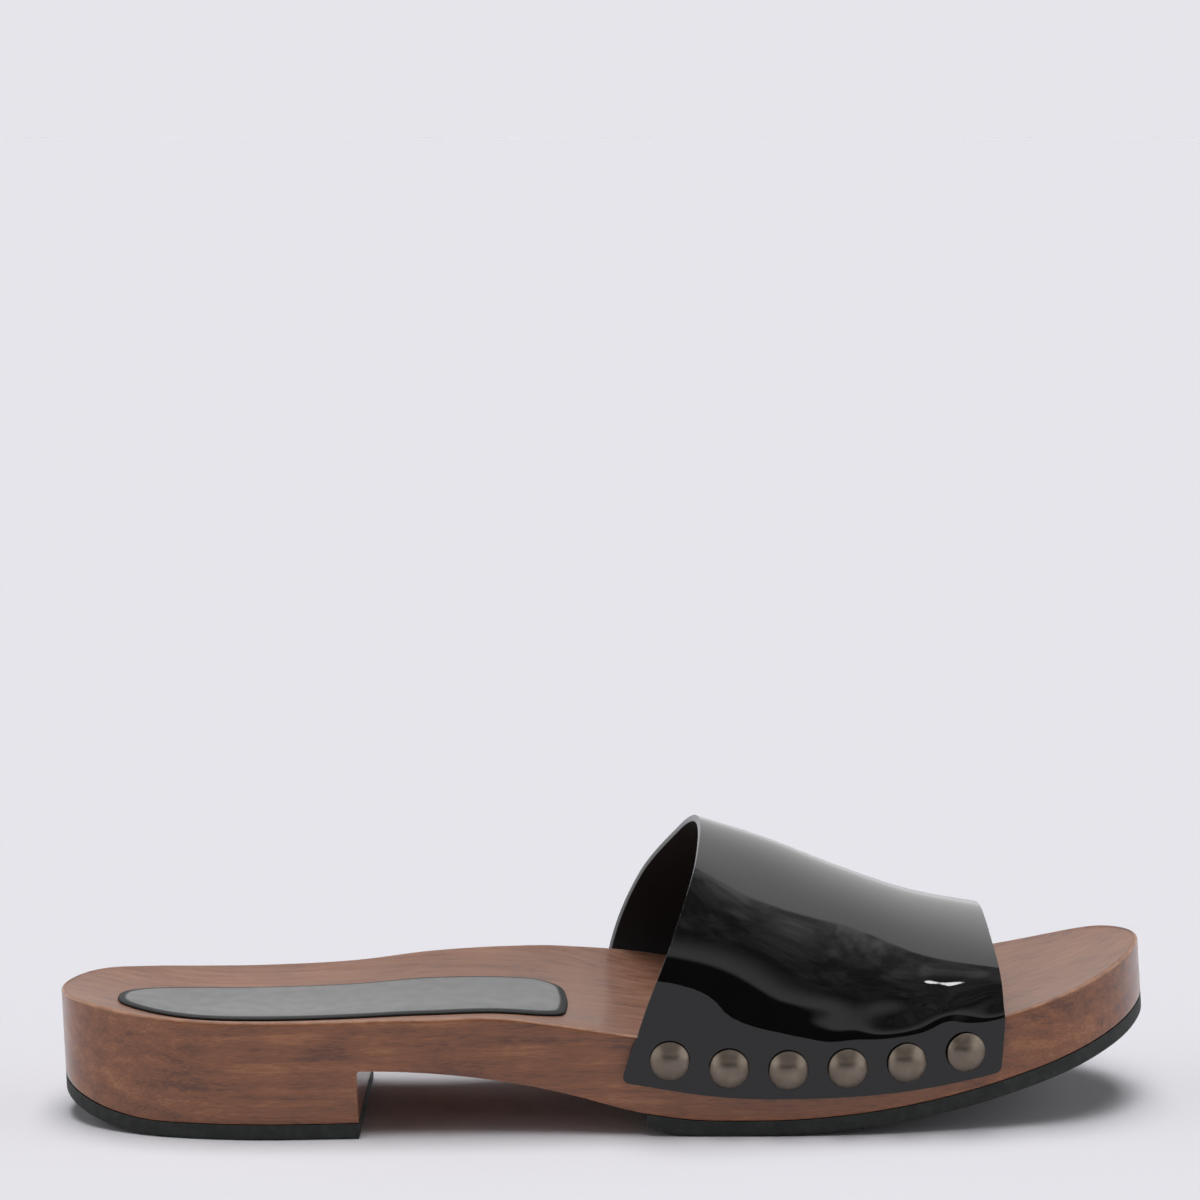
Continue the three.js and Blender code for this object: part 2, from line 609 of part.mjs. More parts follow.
// The strap without its nail holes: one wall from hem to hem over the foot.
function strapShell() {
  const turns = strapTurns();
  const stations = strapStations();
  const rows = turns.length;
  const last = stations.length - 1;
  const outside = stations.length * rows;
  const positions = [];
  const faces = [];
  [0, STRAP_WALL].forEach((lift) => {
    stations.forEach((at) => {
      turns.forEach((turn) => {
        const point = strapInside(at, turn).addScaledVector(strapNormal(at, turn), lift);
        positions.push(point.x, point.y, point.z);
      });
    });
  });
  const index = (i, j) => i * rows + j;
  const close = (a, b) => faces.push(b + outside, a + outside, a, b + outside, a, b);
  for (let i = 0; i < last; i += 1) {
    for (let j = 0; j < rows - 1; j += 1) {
      const [a, b, c, d] = [index(i, j), index(i + 1, j), index(i + 1, j + 1), index(i, j + 1)];
      faces.push(a, c, b, a, d, c);
      faces.push(outside + a, outside + b, outside + c, outside + a, outside + c, outside + d);
    }
    close(index(i, 0), index(i + 1, 0));
    close(index(i + 1, rows - 1), index(i, rows - 1));
  }
  for (let j = 0; j < rows - 1; j += 1) {
    close(index(last, j), index(last, j + 1));
    close(index(0, j + 1), index(0, j));
  }
  return solidFrom(positions, faces);
}

// Where the studs of one side sit: evenly along the hem, each with its place and its direction out of the strap.
function studSeats(side) {
  const turnAtHem = hemTurn(side);
  const first = strapX(0, turnAtHem) + STUD_BACK_MARGIN;
  const last = strapX(1, turnAtHem) - STUD_FRONT_MARGIN;
  const seats = [];
  for (let k = 0; k < STUD_COUNT; k += 1) {
    const x = lerp(first, last, k / (STUD_COUNT - 1));
    const atHem = (x - strapX(0, turnAtHem)) / (strapX(1, turnAtHem) - strapX(0, turnAtHem));
    const hem = hemHeight(atHem, side);
    const down = 1 - STUD_ABOVE_HEM / (rimHeight(x, side) - hem);
    const turn = side ? 180 + WALL_TURN * down : -WALL_TURN * down;
    const at = (x - strapX(0, turn)) / (strapX(1, turn) - strapX(0, turn));
    const normal = strapNormal(at, turn);
    const place = strapInside(at, turn).addScaledVector(normal, STRAP_WALL + FIT_GAP);
    seats.push({ place, normal });
  }
  return seats;
}

// Turns a shape that stands along +Y so that it points out of the strap at a seat.
function seatOn(geometry, seat) {
  const turn = new THREE.Quaternion().setFromUnitVectors(new THREE.Vector3(0, 1, 0), seat.normal);
  geometry.applyQuaternion(turn);
  geometry.translate(seat.place.x, seat.place.y, seat.place.z);
  return geometry;
}

// A domed stud with its nail, turned on one axis.
function studGeometry() {
  const profile = [
    new THREE.Vector2(0, -SHANK_LENGTH),
    new THREE.Vector2(SHANK_RADIUS, -SHANK_LENGTH + SHANK_RADIUS),
    new THREE.Vector2(SHANK_RADIUS, 0),
    new THREE.Vector2(STUD_RADIUS, 0),
  ];
  for (let i = 0; i <= STUD_DOME_STEPS; i += 1) {
    const turn = (Math.PI / 2) * (i / STUD_DOME_STEPS);
    const height = STUD_RIM + (STUD_DOME - STUD_RIM) * Math.sin(turn);
    profile.push(new THREE.Vector2(i === STUD_DOME_STEPS ? 0 : STUD_RADIUS * Math.cos(turn), height));
  }
  return new THREE.LatheGeometry(profile, STUD_SIDES);
}

// The hole that a nail leaves in the strap and the wood.
function nailHole(seat) {
  const depth = SHANK_LENGTH + FIT_GAP;
  const hole = new THREE.CylinderGeometry(SHANK_RADIUS + FIT_GAP, SHANK_RADIUS + FIT_GAP, depth, SHANK_SIDES);
  hole.translate(0, -depth / 2 + FIT_GAP / 2, 0);
  return solidOf(seatOn(hole, seat));
}

const seats = [studSeats(0), studSeats(1)];
const allHoles = seats.flat().map(nailHole);
const withNailHoles = (solid) => allHoles.reduce((cut, hole) => cut.subtract(hole), solid);

const finishes = {
  wood: new THREE.MeshStandardMaterial({ color: 0x7a4c3d, roughness: 0.45, metalness: 0 }),
  rubber: new THREE.MeshStandardMaterial({ color: 0x2a2c2d, roughness: 0.85, metalness: 0 }),
  patent: new THREE.MeshStandardMaterial({ color: 0x101113, roughness: 0.08, metalness: 0 }),
  padding: new THREE.MeshStandardMaterial({ color: 0x2c2d30, roughness: 0.45, metalness: 0 }),
  bronze: new THREE.MeshStandardMaterial({ color: 0x6b6156, roughness: 0.35, metalness: 1 }),
};

const group = new THREE.Group();

function addPiece(name, geometry, finish) {
  const piece = new THREE.Mesh(geometry, finish);
  piece.name = name;
  group.add(piece);
}

addPiece("wood_sole", geometryOf(withNailHoles(woodenSole())), finishes.wood);
addPiece("heel_tread", geometryOf(heelTread()), finishes.rubber);
addPiece("forefoot_tread", geometryOf(forefootTread()), finishes.rubber);
addPiece("heel_pad", geometryOf(heelPad()), finishes.padding);
addPiece("strap", geometryOf(withNailHoles(strapShell())), finishes.patent);
["outer", "inner"].forEach((sideName, side) => {
  seats[side].forEach((seat, k) => {
    addPiece(`stud_${sideName}_${k + 1}`, seatOn(studGeometry(), seat), finishes.bronze);
  });
});

// The shoe stands on the floor with the origin under its middle.
const box = new THREE.Box3().setFromObject(group);
const middle = box.getCenter(new THREE.Vector3());
group.position.set(-middle.x, -middle.y, -box.min.z);

export default group;
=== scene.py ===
# %% [markdown]
# # A wooden clog slide for the right foot
# The shoe is one carved wooden sole, two rubber treads, a padded leather pad under the heel, and
# one wide strap of patent leather that domed nails hold to the sides of the wood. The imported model
# gives every piece its place and size. This notebook makes each piece again with finer surfaces,
# gives it a finish, and lights it as a studio would. Lengths are in metres. X runs from heel to
# toe, Y to the inner side of the foot, and Z up.

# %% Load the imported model
import math

import bmesh
import bpy
import numpy as np
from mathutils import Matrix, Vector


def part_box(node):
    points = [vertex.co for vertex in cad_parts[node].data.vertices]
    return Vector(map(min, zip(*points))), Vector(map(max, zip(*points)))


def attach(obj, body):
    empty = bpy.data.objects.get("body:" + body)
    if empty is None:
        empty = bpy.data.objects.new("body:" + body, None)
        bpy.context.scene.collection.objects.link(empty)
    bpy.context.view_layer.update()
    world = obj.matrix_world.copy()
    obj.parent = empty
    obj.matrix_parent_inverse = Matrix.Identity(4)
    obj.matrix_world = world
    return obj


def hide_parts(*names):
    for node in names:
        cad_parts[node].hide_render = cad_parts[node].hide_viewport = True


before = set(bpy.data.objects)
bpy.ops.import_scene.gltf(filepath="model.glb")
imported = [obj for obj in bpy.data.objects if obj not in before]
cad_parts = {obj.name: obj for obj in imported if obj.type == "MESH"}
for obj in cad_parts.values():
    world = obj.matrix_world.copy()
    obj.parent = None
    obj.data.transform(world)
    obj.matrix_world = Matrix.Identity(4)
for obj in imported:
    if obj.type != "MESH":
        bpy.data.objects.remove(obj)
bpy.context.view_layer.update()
MM = 0.001
print("Solids in the frame:", len(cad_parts))

# %% [markdown]
# ## The camera
# The photograph looks at the outer side of the shoe from about a metre away and a quarter of a
# metre above the floor. A short lens close by would make the near side of the heel too big, and a
# camera without perspective would hide the footbed's far edge, so a long lens at the real distance
# is used. It looks straight across the shoe and tips down a little, which leaves the shoe low in
# the picture.

# %% Camera
VIEW_DISTANCE = 0.98477
VIEW_HEIGHT = 0.24045
VIEW_ALONG = -0.00152
VIEW_TIPS_DOWN = 6.875
LENS_LENGTH = 123
SENSOR = 36

camera_data = bpy.data.cameras.new("camera")
camera_data.lens = LENS_LENGTH
camera_data.sensor_width = SENSOR
camera = bpy.data.objects.new("camera", camera_data)
camera.location = (VIEW_ALONG, -VIEW_DISTANCE, VIEW_HEIGHT)
camera.rotation_euler = (math.radians(90 - VIEW_TIPS_DOWN), 0, 0)
bpy.context.scene.collection.objects.link(camera)
bpy.context.scene.camera = camera
print("Camera at", tuple(round(value, 3) for value in camera.location))

# %% [markdown]
# ## The line of the sole
# A clog maker starts from a paper pattern of the foot. The pattern here is a short table: how far
# along the sole a point lies, and how far to the side as a share of the width there, which changes
# smoothly from the heel's to the ball's. One closed smooth curve through those points is split into
# the outer and the inner edge, because most later shapes ask the same question: how wide is the
# sole here?

# %% Smooth curves through a few points
SOLE_LENGTH = 261 * MM
HEEL_WIDTH = 65.5 * MM
BALL_WIDTH = 89 * MM
HEEL_BLEND_END = 0.303
BALL_BLEND_START = 0.622
CURVE_STEPS = 40


def ease(value, start, end):
    """0 before start, 1 after end, and a smooth rise between them."""
    share = np.clip((value - start) / (end - start), 0, 1)
    return share * share * (3 - 2 * share)


def between(start, end, share):
    """The value a share of the way from start to end."""
    return start + (end - start) * share


def heel_to_ball(x, at_heel, at_ball):
    """A size that holds over the heel and changes smoothly to the ball's."""
    return between(at_heel, at_ball, ease(x / SOLE_LENGTH, HEEL_BLEND_END, BALL_BLEND_START))


def column_curve(places, values):
    """A smooth curve through the rows of a table."""
    places = np.array(places)
    values = np.array(values)
    ahead = np.minimum(np.arange(len(places)) + 1, len(places) - 1)
    behind = np.maximum(np.arange(len(places)) - 1, 0)
    slopes = (values[ahead] - values[behind]) / (places[ahead] - places[behind])

    def curve(x):
        x = np.clip(x, places[0], places[-1])
        i = np.clip(np.searchsorted(places, x) - 1, 0, len(places) - 2)
        span = places[i + 1] - places[i]
        t = (x - places[i]) / span
        from_start = (1 + 2 * t) * (1 - t) ** 2 * values[i] + t * (1 - t) ** 2 * span * slopes[i]
        from_end = t**2 * (3 - 2 * t) * values[i + 1] - t**2 * (1 - t) * span * slopes[i + 1]
        return from_start + from_end

    return curve


def closed_curve(points):
    """A smooth closed curve through the points, without overshoot where they lie close together."""
    before, start, end, after = (np.roll(points, shift, axis=0) for shift in (1, 0, -1, -2))
    pairs = ((before, start), (start, end), (end, after))
    gaps = [np.sqrt(np.linalg.norm(b - a, axis=1))[:, None] for a, b in pairs]
    leave = (start - before) / gaps[0] - (end - before) / (gaps[0] + gaps[1]) + (end - start) / gaps[1]
    arrive = (end - start) / gaps[1] - (after - start) / (gaps[1] + gaps[2]) + (after - end) / gaps[2]
    leave = leave * gaps[1]
    arrive = arrive * gaps[1]
    t = np.linspace(0, 1, CURVE_STEPS, endpoint=False)[:, None, None]
    cubic = (2 * start - 2 * end + leave + arrive) * t**3
    square = (3 * end - 3 * start - 2 * leave - arrive) * t**2
    return (cubic + square + leave * t + start).transpose(1, 0, 2).reshape(-1, 2)


sample_width = heel_to_ball(100 * MM, HEEL_WIDTH, BALL_WIDTH)
print("Width of the sole 100 mm from its back, in millimetres:", round(sample_width / MM, 1))

# %% The two edges of the sole
# Each row: share of the sole's length, share of the local width.
SOLE_OUTLINE = [
    (0, 0), (0.0107, -0.19), (0.0328, -0.31), (0.073, -0.412), (0.1146, -0.47), (0.1819, -0.508),
    (0.3164, -0.477), (0.4525, -0.385), (0.6019, -0.333), (0.7016, -0.326), (0.7812, -0.303), (0.861, -0.254),
    (0.9295, -0.176), (0.9769, -0.03), (1, 0.2), (0.9849, 0.385), (0.9528, 0.51), (0.9007, 0.592),
    (0.8211, 0.65), (0.7314, 0.68), (0.6368, 0.636), (0.5341, 0.56), (0.4574, 0.5), (0.3827, 0.472),
    (0.303, 0.478), (0.1824, 0.492), (0.1146, 0.462), (0.073, 0.412), (0.0328, 0.31), (0.0107, 0.19),
]


class Edges:
    """The outer and inner edge of a closed outline: where each lies at x, and which way it faces."""

    def __init__(self, outline):
        curve = closed_curve(outline)
        curve = np.roll(curve, -curve[:, 0].argmin(), axis=0)
        tip = curve[:, 0].argmax()
        self.start = curve[0, 0]
        self.end = curve[tip, 0]
        self.sides = [curve[: tip + 1], np.vstack([curve[tip:], curve[:1]])[::-1]]
        self.facing = []
        for side, sign in zip(self.sides, (1, -1)):
            along = np.gradient(side, axis=0)
            out = np.stack([along[:, 1], -along[:, 0]], axis=1) * sign
            self.facing.append(out / np.linalg.norm(out, axis=1)[:, None])

    def y(self, x, side):
        """Where the outer (0) or inner (1) edge lies at x."""
        return np.interp(x, self.sides[side][:, 0], self.sides[side][:, 1])

    def outward(self, x, side):
        """The direction in the floor's plane that the edge faces at x."""
        xs = self.sides[side][:, 0]
        return [np.interp(x, xs, self.facing[side][:, axis]) for axis in (0, 1)]

    def share(self, x, y):
        """How far across y lies, 0 at the outer edge and 1 at the inner."""
        outer = self.y(x, 0)
        inner = self.y(x, 1)
        return np.clip((y - outer) / np.maximum(inner - outer, 0.001 * MM), 0, 1)


outline = []
for along, across in SOLE_OUTLINE:
    x = along * SOLE_LENGTH
    outline.append((x, across * heel_to_ball(x, HEEL_WIDTH, BALL_WIDTH)))
sole_edges = Edges(np.array(outline))
# The notebook works in the sole's own frame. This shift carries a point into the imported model's.
wood_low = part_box("wood_sole")[0]
SHIFT = np.array([wood_low.x, wood_low.y - sole_edges.sides[0][:, 1].min(), 0])
print("From the sole's frame to the model's, in millimetres:", SHIFT / MM)

# %% [markdown]
# ## Heights
# Seen from the side the top edge dips at the heel, climbs to the arch on the inner side, and falls
# to the ball. The footbed lies a few millimetres lower, like a shallow dish. The underside rolls up
# at the heel and the toe, so that the foot can walk on stiff wood. Each of these is a height above
# the floor as a function of place, which keeps the pad, the treads and the strap exactly on the
# wood.

# %% Top edges, footbed and underside
HEEL_HEIGHT = 28.4 * MM
BALL_HEIGHT = 22.2 * MM
SEAT_DEPTH = 3.8 * MM
BALL_DEPTH = 2.2 * MM
DISH_FLATNESS = 2.6
RIM_RADIUS = 0.9 * MM
TREAD_THICKNESS = 3.5 * MM
FIT_GAP = 0.3 * MM
HEEL_LENGTH = 72.6 * MM
BREAST_LEAN = 0.6 * MM
HEEL_ROCKER = (27 * MM, 68 * MM)
TOE_ROCKER = (164.6 * MM, 228 * MM)
ARCH_HEIGHT = 16.2 * MM
ARCH_RADIUS = 205 * MM
ARCH_BLEND_START = 130 * MM

# Each row: share of the length, outer and inner top edge as shares of the local height, depth of the dish.
SOLE_HEIGHTS = [
    (0, 1.07, 1.07, 0), (0.0293, 1.068, 1.068, 0.32), (0.0689, 1.036, 1.036, 0.72), (0.1216, 1.008, 1.008, 1),
    (0.1839, 1, 1.005, 1), (0.2632, 1.004, 1.05, 1), (0.3425, 1.02, 1.15, 1), (0.4027, 1.07, 1.22, 1.1),
    (0.4574, 1.065, 1.26, 1.1), (0.5322, 1.035, 1.23, 1), (0.6316, 1.01, 1.075, 1), (0.7214, 0.98, 1.02, 1),
    (0.7912, 0.923, 0.97, 0.95), (0.861, 0.881, 0.905, 0.8), (0.9307, 0.855, 0.86, 0.5),
    (0.9755, 0.832, 0.835, 0.2), (1, 0.8, 0.8, 0),
]
along, *columns = zip(*SOLE_HEIGHTS)
*rim_shares, dish_depth = (column_curve(along, column) for column in columns)


def roll_up(x, above=0.0):
    """Height of the rolled-up heel and toe at x, for a surface that lies above the one on the floor."""
    rises = []
    for radius, away in ((HEEL_ROCKER[1], HEEL_ROCKER[0] - x), (TOE_ROCKER[1], x - TOE_ROCKER[0])):
        rises.append(radius - np.sqrt((radius - above) ** 2 - np.maximum(away, 0) ** 2))
    return np.where(x < HEEL_ROCKER[0], *rises)


def toe_lift(x):
    """How far the rolled-up toe has lifted the sole at x."""
    return np.where(x > TOE_ROCKER[0], roll_up(x), 0)


def rim_height(x, side):
    """Height of the top edge at x on the outer (0) or inner (1) side."""
    share = rim_shares[side](x / SOLE_LENGTH)
    return share * heel_to_ball(x, HEEL_HEIGHT, BALL_HEIGHT) + toe_lift(x)


def rim_between(x, across):
    """Height at x of the straight line from the outer to the inner top edge."""
    return between(rim_height(x, 0), rim_height(x, 1), across)


def footbed_height(x, y):
    """Height of the dished footbed, which starts where the rounded rim ends."""
    across = sole_edges.share(x, y)
    margin = RIM_RADIUS / np.maximum(sole_edges.y(x, 1) - sole_edges.y(x, 0), 4 * RIM_RADIUS)
    inside = np.clip((across - margin) / (1 - 2 * margin), 0, 1)
    deep = dish_depth(x / SOLE_LENGTH) * heel_to_ball(x, SEAT_DEPTH, BALL_DEPTH)
    return rim_between(x, across) - deep * (1 - np.abs(2 * inside - 1) ** DISH_FLATNESS)


def under_wood(x, gap=0.0):
    """Height of the wood's underside in front of the breast or behind it, or of a surface a gap below it."""
    seat = TREAD_THICKNESS + FIT_GAP - gap
    radius = ARCH_RADIUS - gap
    centre = ARCH_HEIGHT - ARCH_RADIUS
    turn = math.asin((ARCH_BLEND_START - HEEL_LENGTH) / radius)
    blend_height = centre + radius * math.cos(turn)
    blend_length = 2 * (blend_height - seat) / math.tan(turn)
    t = np.clip((x - ARCH_BLEND_START) / blend_length, 0, 1)
    blend = (1 - t) ** 2 * blend_height + (1 - (1 - t) ** 2) * seat
    arch = centre + np.sqrt(np.maximum(radius**2 - (x - HEEL_LENGTH) ** 2, 0))
    front = np.where(x < ARCH_BLEND_START, arch, np.maximum(blend, roll_up(x, seat)))
    return np.where(x <= HEEL_LENGTH, roll_up(x, seat), front)


for share in (0.2, 0.5, 0.8):
    x = share * SOLE_LENGTH
    sample = [rim_height(x, 0), rim_height(x, 1), footbed_height(x, sole_edges.y(x, 0) / 2), under_wood(x)]
    sample = [round(float(z) / MM, 1) for z in sample]
    print("Rims, footbed and underside at", share, "of the length, in millimetres:", sample)

# %% [markdown]
# ## From points to a mesh
# Every piece of this shoe can be thought of as a few patches, each a sheet of points in rows, sewn
# together where their borders meet. A box cut down with booleans would also give the sole, but its
# faces would be long slivers that catch the light badly. Patches keep the faces small and even, so
# the rounded rim shades cleanly.

# %% Sewing patches together
SEWN = 0.002 * MM
SHARP = math.radians(38)


def mesh_from_patches(name, patches):
    """One mesh from sheets of points, joined where their borders meet."""
    mesh = bpy.data.meshes.new(name)
    points = []
    faces = []
    for patch in patches:
        rows, columns = patch.shape[:2]
        corner = len(points) + np.arange(rows * columns).reshape(rows, columns)
        quads = np.stack([corner[:-1, :-1], corner[1:, :-1], corner[1:, 1:], corner[:-1, 1:]], axis=-1)
        faces.extend(quads.reshape(-1, 4).tolist())
        points.extend((patch.reshape(-1, 3) + SHIFT).tolist())
    mesh.from_pydata(points, [], faces)
    sewing = bmesh.new()
    sewing.from_mesh(mesh)
    bmesh.ops.remove_doubles(sewing, verts=sewing.verts, dist=SEWN)
    bmesh.ops.dissolve_degenerate(sewing, edges=sewing.edges, dist=SEWN)
    bmesh.ops.recalc_face_normals(sewing, faces=sewing.faces)
    sewing.to_mesh(mesh)
    sewing.free()
    return mesh


def add_piece(name, mesh, finishes, slot, *nodes):
    """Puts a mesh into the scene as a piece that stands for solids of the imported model."""
    piece = bpy.data.objects.new(name, mesh)
    bpy.context.scene.collection.objects.link(piece)
    for finish in finishes:
        mesh.materials.append(finish)
    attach(piece, "root")
    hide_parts(*nodes)
    mesh.shade_smooth()
    mesh.set_sharp_from_angle(angle=SHARP)
    print(name, "has", len(mesh.polygons), "faces")
    return piece


def points_of(x, y, z):
    """Three lists of coordinates as one list of points."""
    return np.stack(np.broadcast_arrays(x, y, z), axis=-1)


def ring_round(outer, inner, columns):
    """A closed ring: along the outer side, across the front, back along the inner side, across the back."""
    share = np.linspace(0, 1, columns + 1)[1:-1, None]
    front = between(outer[-1], inner[-1], share)
    back = between(inner[0], outer[0], share)
    return np.vstack([outer, front, inner[::-1], back, outer[:1]])


def sheet_between(outer, inner, columns, height=None):
    """A sheet from the outer to the inner side, at the given height where there is one."""
    share = np.linspace(0, 1, columns + 1)[None, :, None]
    sheet = between(outer[:, None], inner[:, None], share)
    if height is not None:
        sheet[:, 1:-1, 2] = height(sheet[:, 1:-1, 0], sheet[:, 1:-1, 1])
    return sheet


def closed_form(name, rings, columns, columns_above, below=None, above=None):
    """A closed mesh: rings from the bottom to the top, with a sheet across the first and the last."""
    wall = np.stack([ring_round(*ring, columns) for ring in rings])
    under = sheet_between(*rings[0], columns, below)
    over = sheet_between(*rings[-1], columns_above, above)
    return mesh_from_patches(name, [wall, under, over])


def stations(start, end, count):
    """Places from start to end that lie closer together at both ends, so that round ends stay round."""
    return between(start, end, (1 - np.cos(np.linspace(0, np.pi, count + 1))) / 2)


print("Stations along a coarse sole, in millimetres:", np.round(stations(0, SOLE_LENGTH, 6) / MM))

# %% [markdown]
# ## Shader nodes with less typing
# Finishes are made from nodes, and a node tree written out in full hides the idea under lines of
# joining. This small bench adds a node, feeds its sockets and hands back its output. All patterns
# use the object's own coordinates in metres, so a grain of half a millimetre is half a millimetre
# on every piece, from every side.

# %% A bench for finishes


def rgb(red, green, blue):
    """A colour as shown on screen, 0 to 255, as the linear values that shaders use."""
    screen = np.array([red, green, blue]) / 255
    linear = np.where(screen <= 0.04045, screen / 12.92, ((screen + 0.055) / 1.055) ** 2.4)
    return (*linear.tolist(), 1)


class Bench:
    """Adds nodes to one tree and joins them."""

    def __init__(self, tree):
        self.tree = tree

    def feed(self, socket, value):
        if isinstance(value, bpy.types.NodeSocket):
            self.tree.links.new(value, socket)
        else:
            socket.default_value = value

    def add(self, kind, sockets=None, **settings):
        made = self.tree.nodes.new("ShaderNode" + kind)
        for name, value in settings.items():
            setattr(made, name, value)
        for name, value in (sockets or {}).items():
            self.feed(made.inputs[name], value)
        return made

    def place(self):
        return self.add("TexCoord").outputs["Object"]

    def stored(self, name):
        """A number stored on each point of the mesh."""
        return self.add("Attribute", attribute_name=name).outputs["Fac"]

    def scaled(self, vector, scale, shift=(0, 0, 0)):
        return self.add("Mapping", {"Vector": vector, "Scale": scale, "Location": shift}).outputs[0]

    def noise(self, vector, scale=1.0, detail=2.0, roughness=0.5):
        sockets = {"Vector": vector, "Scale": scale, "Detail": detail, "Roughness": roughness}
        return self.add("TexNoise", sockets).outputs[0]

    def maths(self, operation, first, second=0.0, third=0.0):
        return self.add("Math", {0: first, 1: second, 2: third}, operation=operation).outputs[0]

    def measure(self, operation, first, second=(0, 0, 0)):
        """A length, a distance or a dot product of vectors, as one number."""
        return self.add("VectorMath", {0: first, 1: second}, operation=operation).outputs["Value"]

    def between(self, start, end, share):
        return self.maths("MULTIPLY_ADD", self.maths("SUBTRACT", end, start), share, start)

    def ramp(self, value, low, high, to_low=0.0, to_high=1.0):
        """Turns low to high of a value into a smooth change between two others, and no further."""
        sockets = {"Value": value, "From Min": low, "From Max": high, "To Min": to_low, "To Max": to_high}
        return self.add("MapRange", sockets, interpolation_type="SMOOTHSTEP").outputs[0]

    def spread(self, noise, to_low, to_high):
        """Stretches a noise, which lies mostly between 0.3 and 0.7, over a range."""
        return self.ramp(noise, 0.3, 0.7, to_low, to_high)

    def blend(self, share, first, second):
        return self.add("Mix", {0: share, 6: first, 7: second}, data_type="RGBA").outputs[2]

    def bump(self, height, depth, strength):
        return self.add("Bump", {"Height": height, "Distance": depth, "Strength": strength}).outputs[0]


class Finish(Bench):
    """A bench for one material, with its shader ready."""

    def __init__(self, name):
        self.material = bpy.data.materials.new(name)
        self.material.use_nodes = True
        super().__init__(self.material.node_tree)
        self.shader = self.tree.nodes["Principled BSDF"]
        print("Finish:", name)

    def set(self, **sockets):
        for name, value in sockets.items():
            self.feed(self.shader.inputs[name.replace("_", " ").title().replace("Ior", "IOR")], value)


print("Walnut on screen and in the shader:", (122, 76, 60), tuple(round(v, 3) for v in rgb(122, 76, 60)))

# %% [markdown]
# ## Stained wood
# The sole is pale, close-grained wood stained walnut brown under a satin varnish. A picture of wood
# wrapped round it would break at the edges, where real grain runs on from the side into the
# footbed. So the grain is worked out in space: growth rings are cylinders round the heart of the
# tree, which ran along the sole below it. They show as level lines on the sides and as long wavy
# figures on the footbed. Finer streaks, short dark pores and blotches of stain lie over them, and
# the edges that hands and feet touch are rubbed paler.

# %% Grain of the wood
FROM_HEART = (0, -0.03, 0.085)
RING_STRETCH = (0.12, 1, 1)
RING_WIDTH = 4.2 * MM
RING_SWAY = 5.0
RING_TONES = (0.42, 0.56)
# How often each pattern repeats in a metre, along the sole, across it and up.
SWAYING = (8, 26, 26)
STREAKED = (22, 520, 520)
FLECKED = (300, 3000, 3000)
PORED = (130, 3400, 3400)
BLOTCHED = (60, 85, 85)


def growth_rings(finish, place):
    """0 to 1 and back from one growth ring to the next."""
    sway = finish.noise(finish.scaled(place, SWAYING))
    distance = finish.measure("LENGTH", finish.scaled(place, RING_STRETCH, FROM_HEART))
    swayed = finish.maths("MULTIPLY", sway, RING_SWAY)
    counted = finish.maths("MULTIPLY_ADD", distance, 1 / RING_WIDTH, swayed)
    return finish.maths("PINGPONG", counted, 1.0)


def wood_tone(finish, place, streaks, blotches):
    """From 0 for dark to 1 for light wood: rings, with streaks, flecks and blotches over them."""
    flecks = finish.noise(finish.scaled(place, FLECKED))
    tone = finish.ramp(growth_rings(finish, place), 0.2, 1.0, *RING_TONES)
    for pattern, strength in ((streaks, 0.24), (flecks, 0.16), (blotches, 0.16)):
        tone = finish.maths("ADD", tone, finish.spread(pattern, -strength, strength))
    return tone


print("Growth rings in the height of the heel:", round(HEEL_HEIGHT / RING_WIDTH, 1))

# %% Finish of the wood
STAIN_DARK = rgb(96, 56, 37)
STAIN_MIDDLE = rgb(132, 80, 49)
STAIN_LIGHT = rgb(162, 105, 69)
STAIN_RUBBED = rgb(200, 152, 122)
# Grey-brown for the faces that look up: trodden dust, with painted sheen in it.
STAIN_DUST_AND_SHEEN = rgb(140, 117, 107)
KNOT_PLACE = (-0.0965, -0.0475, 0.0215)
KNOT_STRETCH = (0.6, 1, 1)
KNOT_CORE = 2 * MM
KNOT_REACH = 5.5 * MM
KNOT_BLUR = 4 * MM
PORE_DARKNESS = 0.4


def knot_shadow(finish, place, blotches):
    """How dark the small knot near the back of the heel makes the wood."""
    middle = np.multiply(KNOT_PLACE, KNOT_STRETCH).tolist()
    away = finish.measure("DISTANCE", finish.scaled(place, KNOT_STRETCH), middle)
    blurred = finish.maths("MULTIPLY_ADD", blotches, KNOT_BLUR, away)
    return finish.ramp(blurred, KNOT_CORE, KNOT_REACH, 0.45, 0.0)


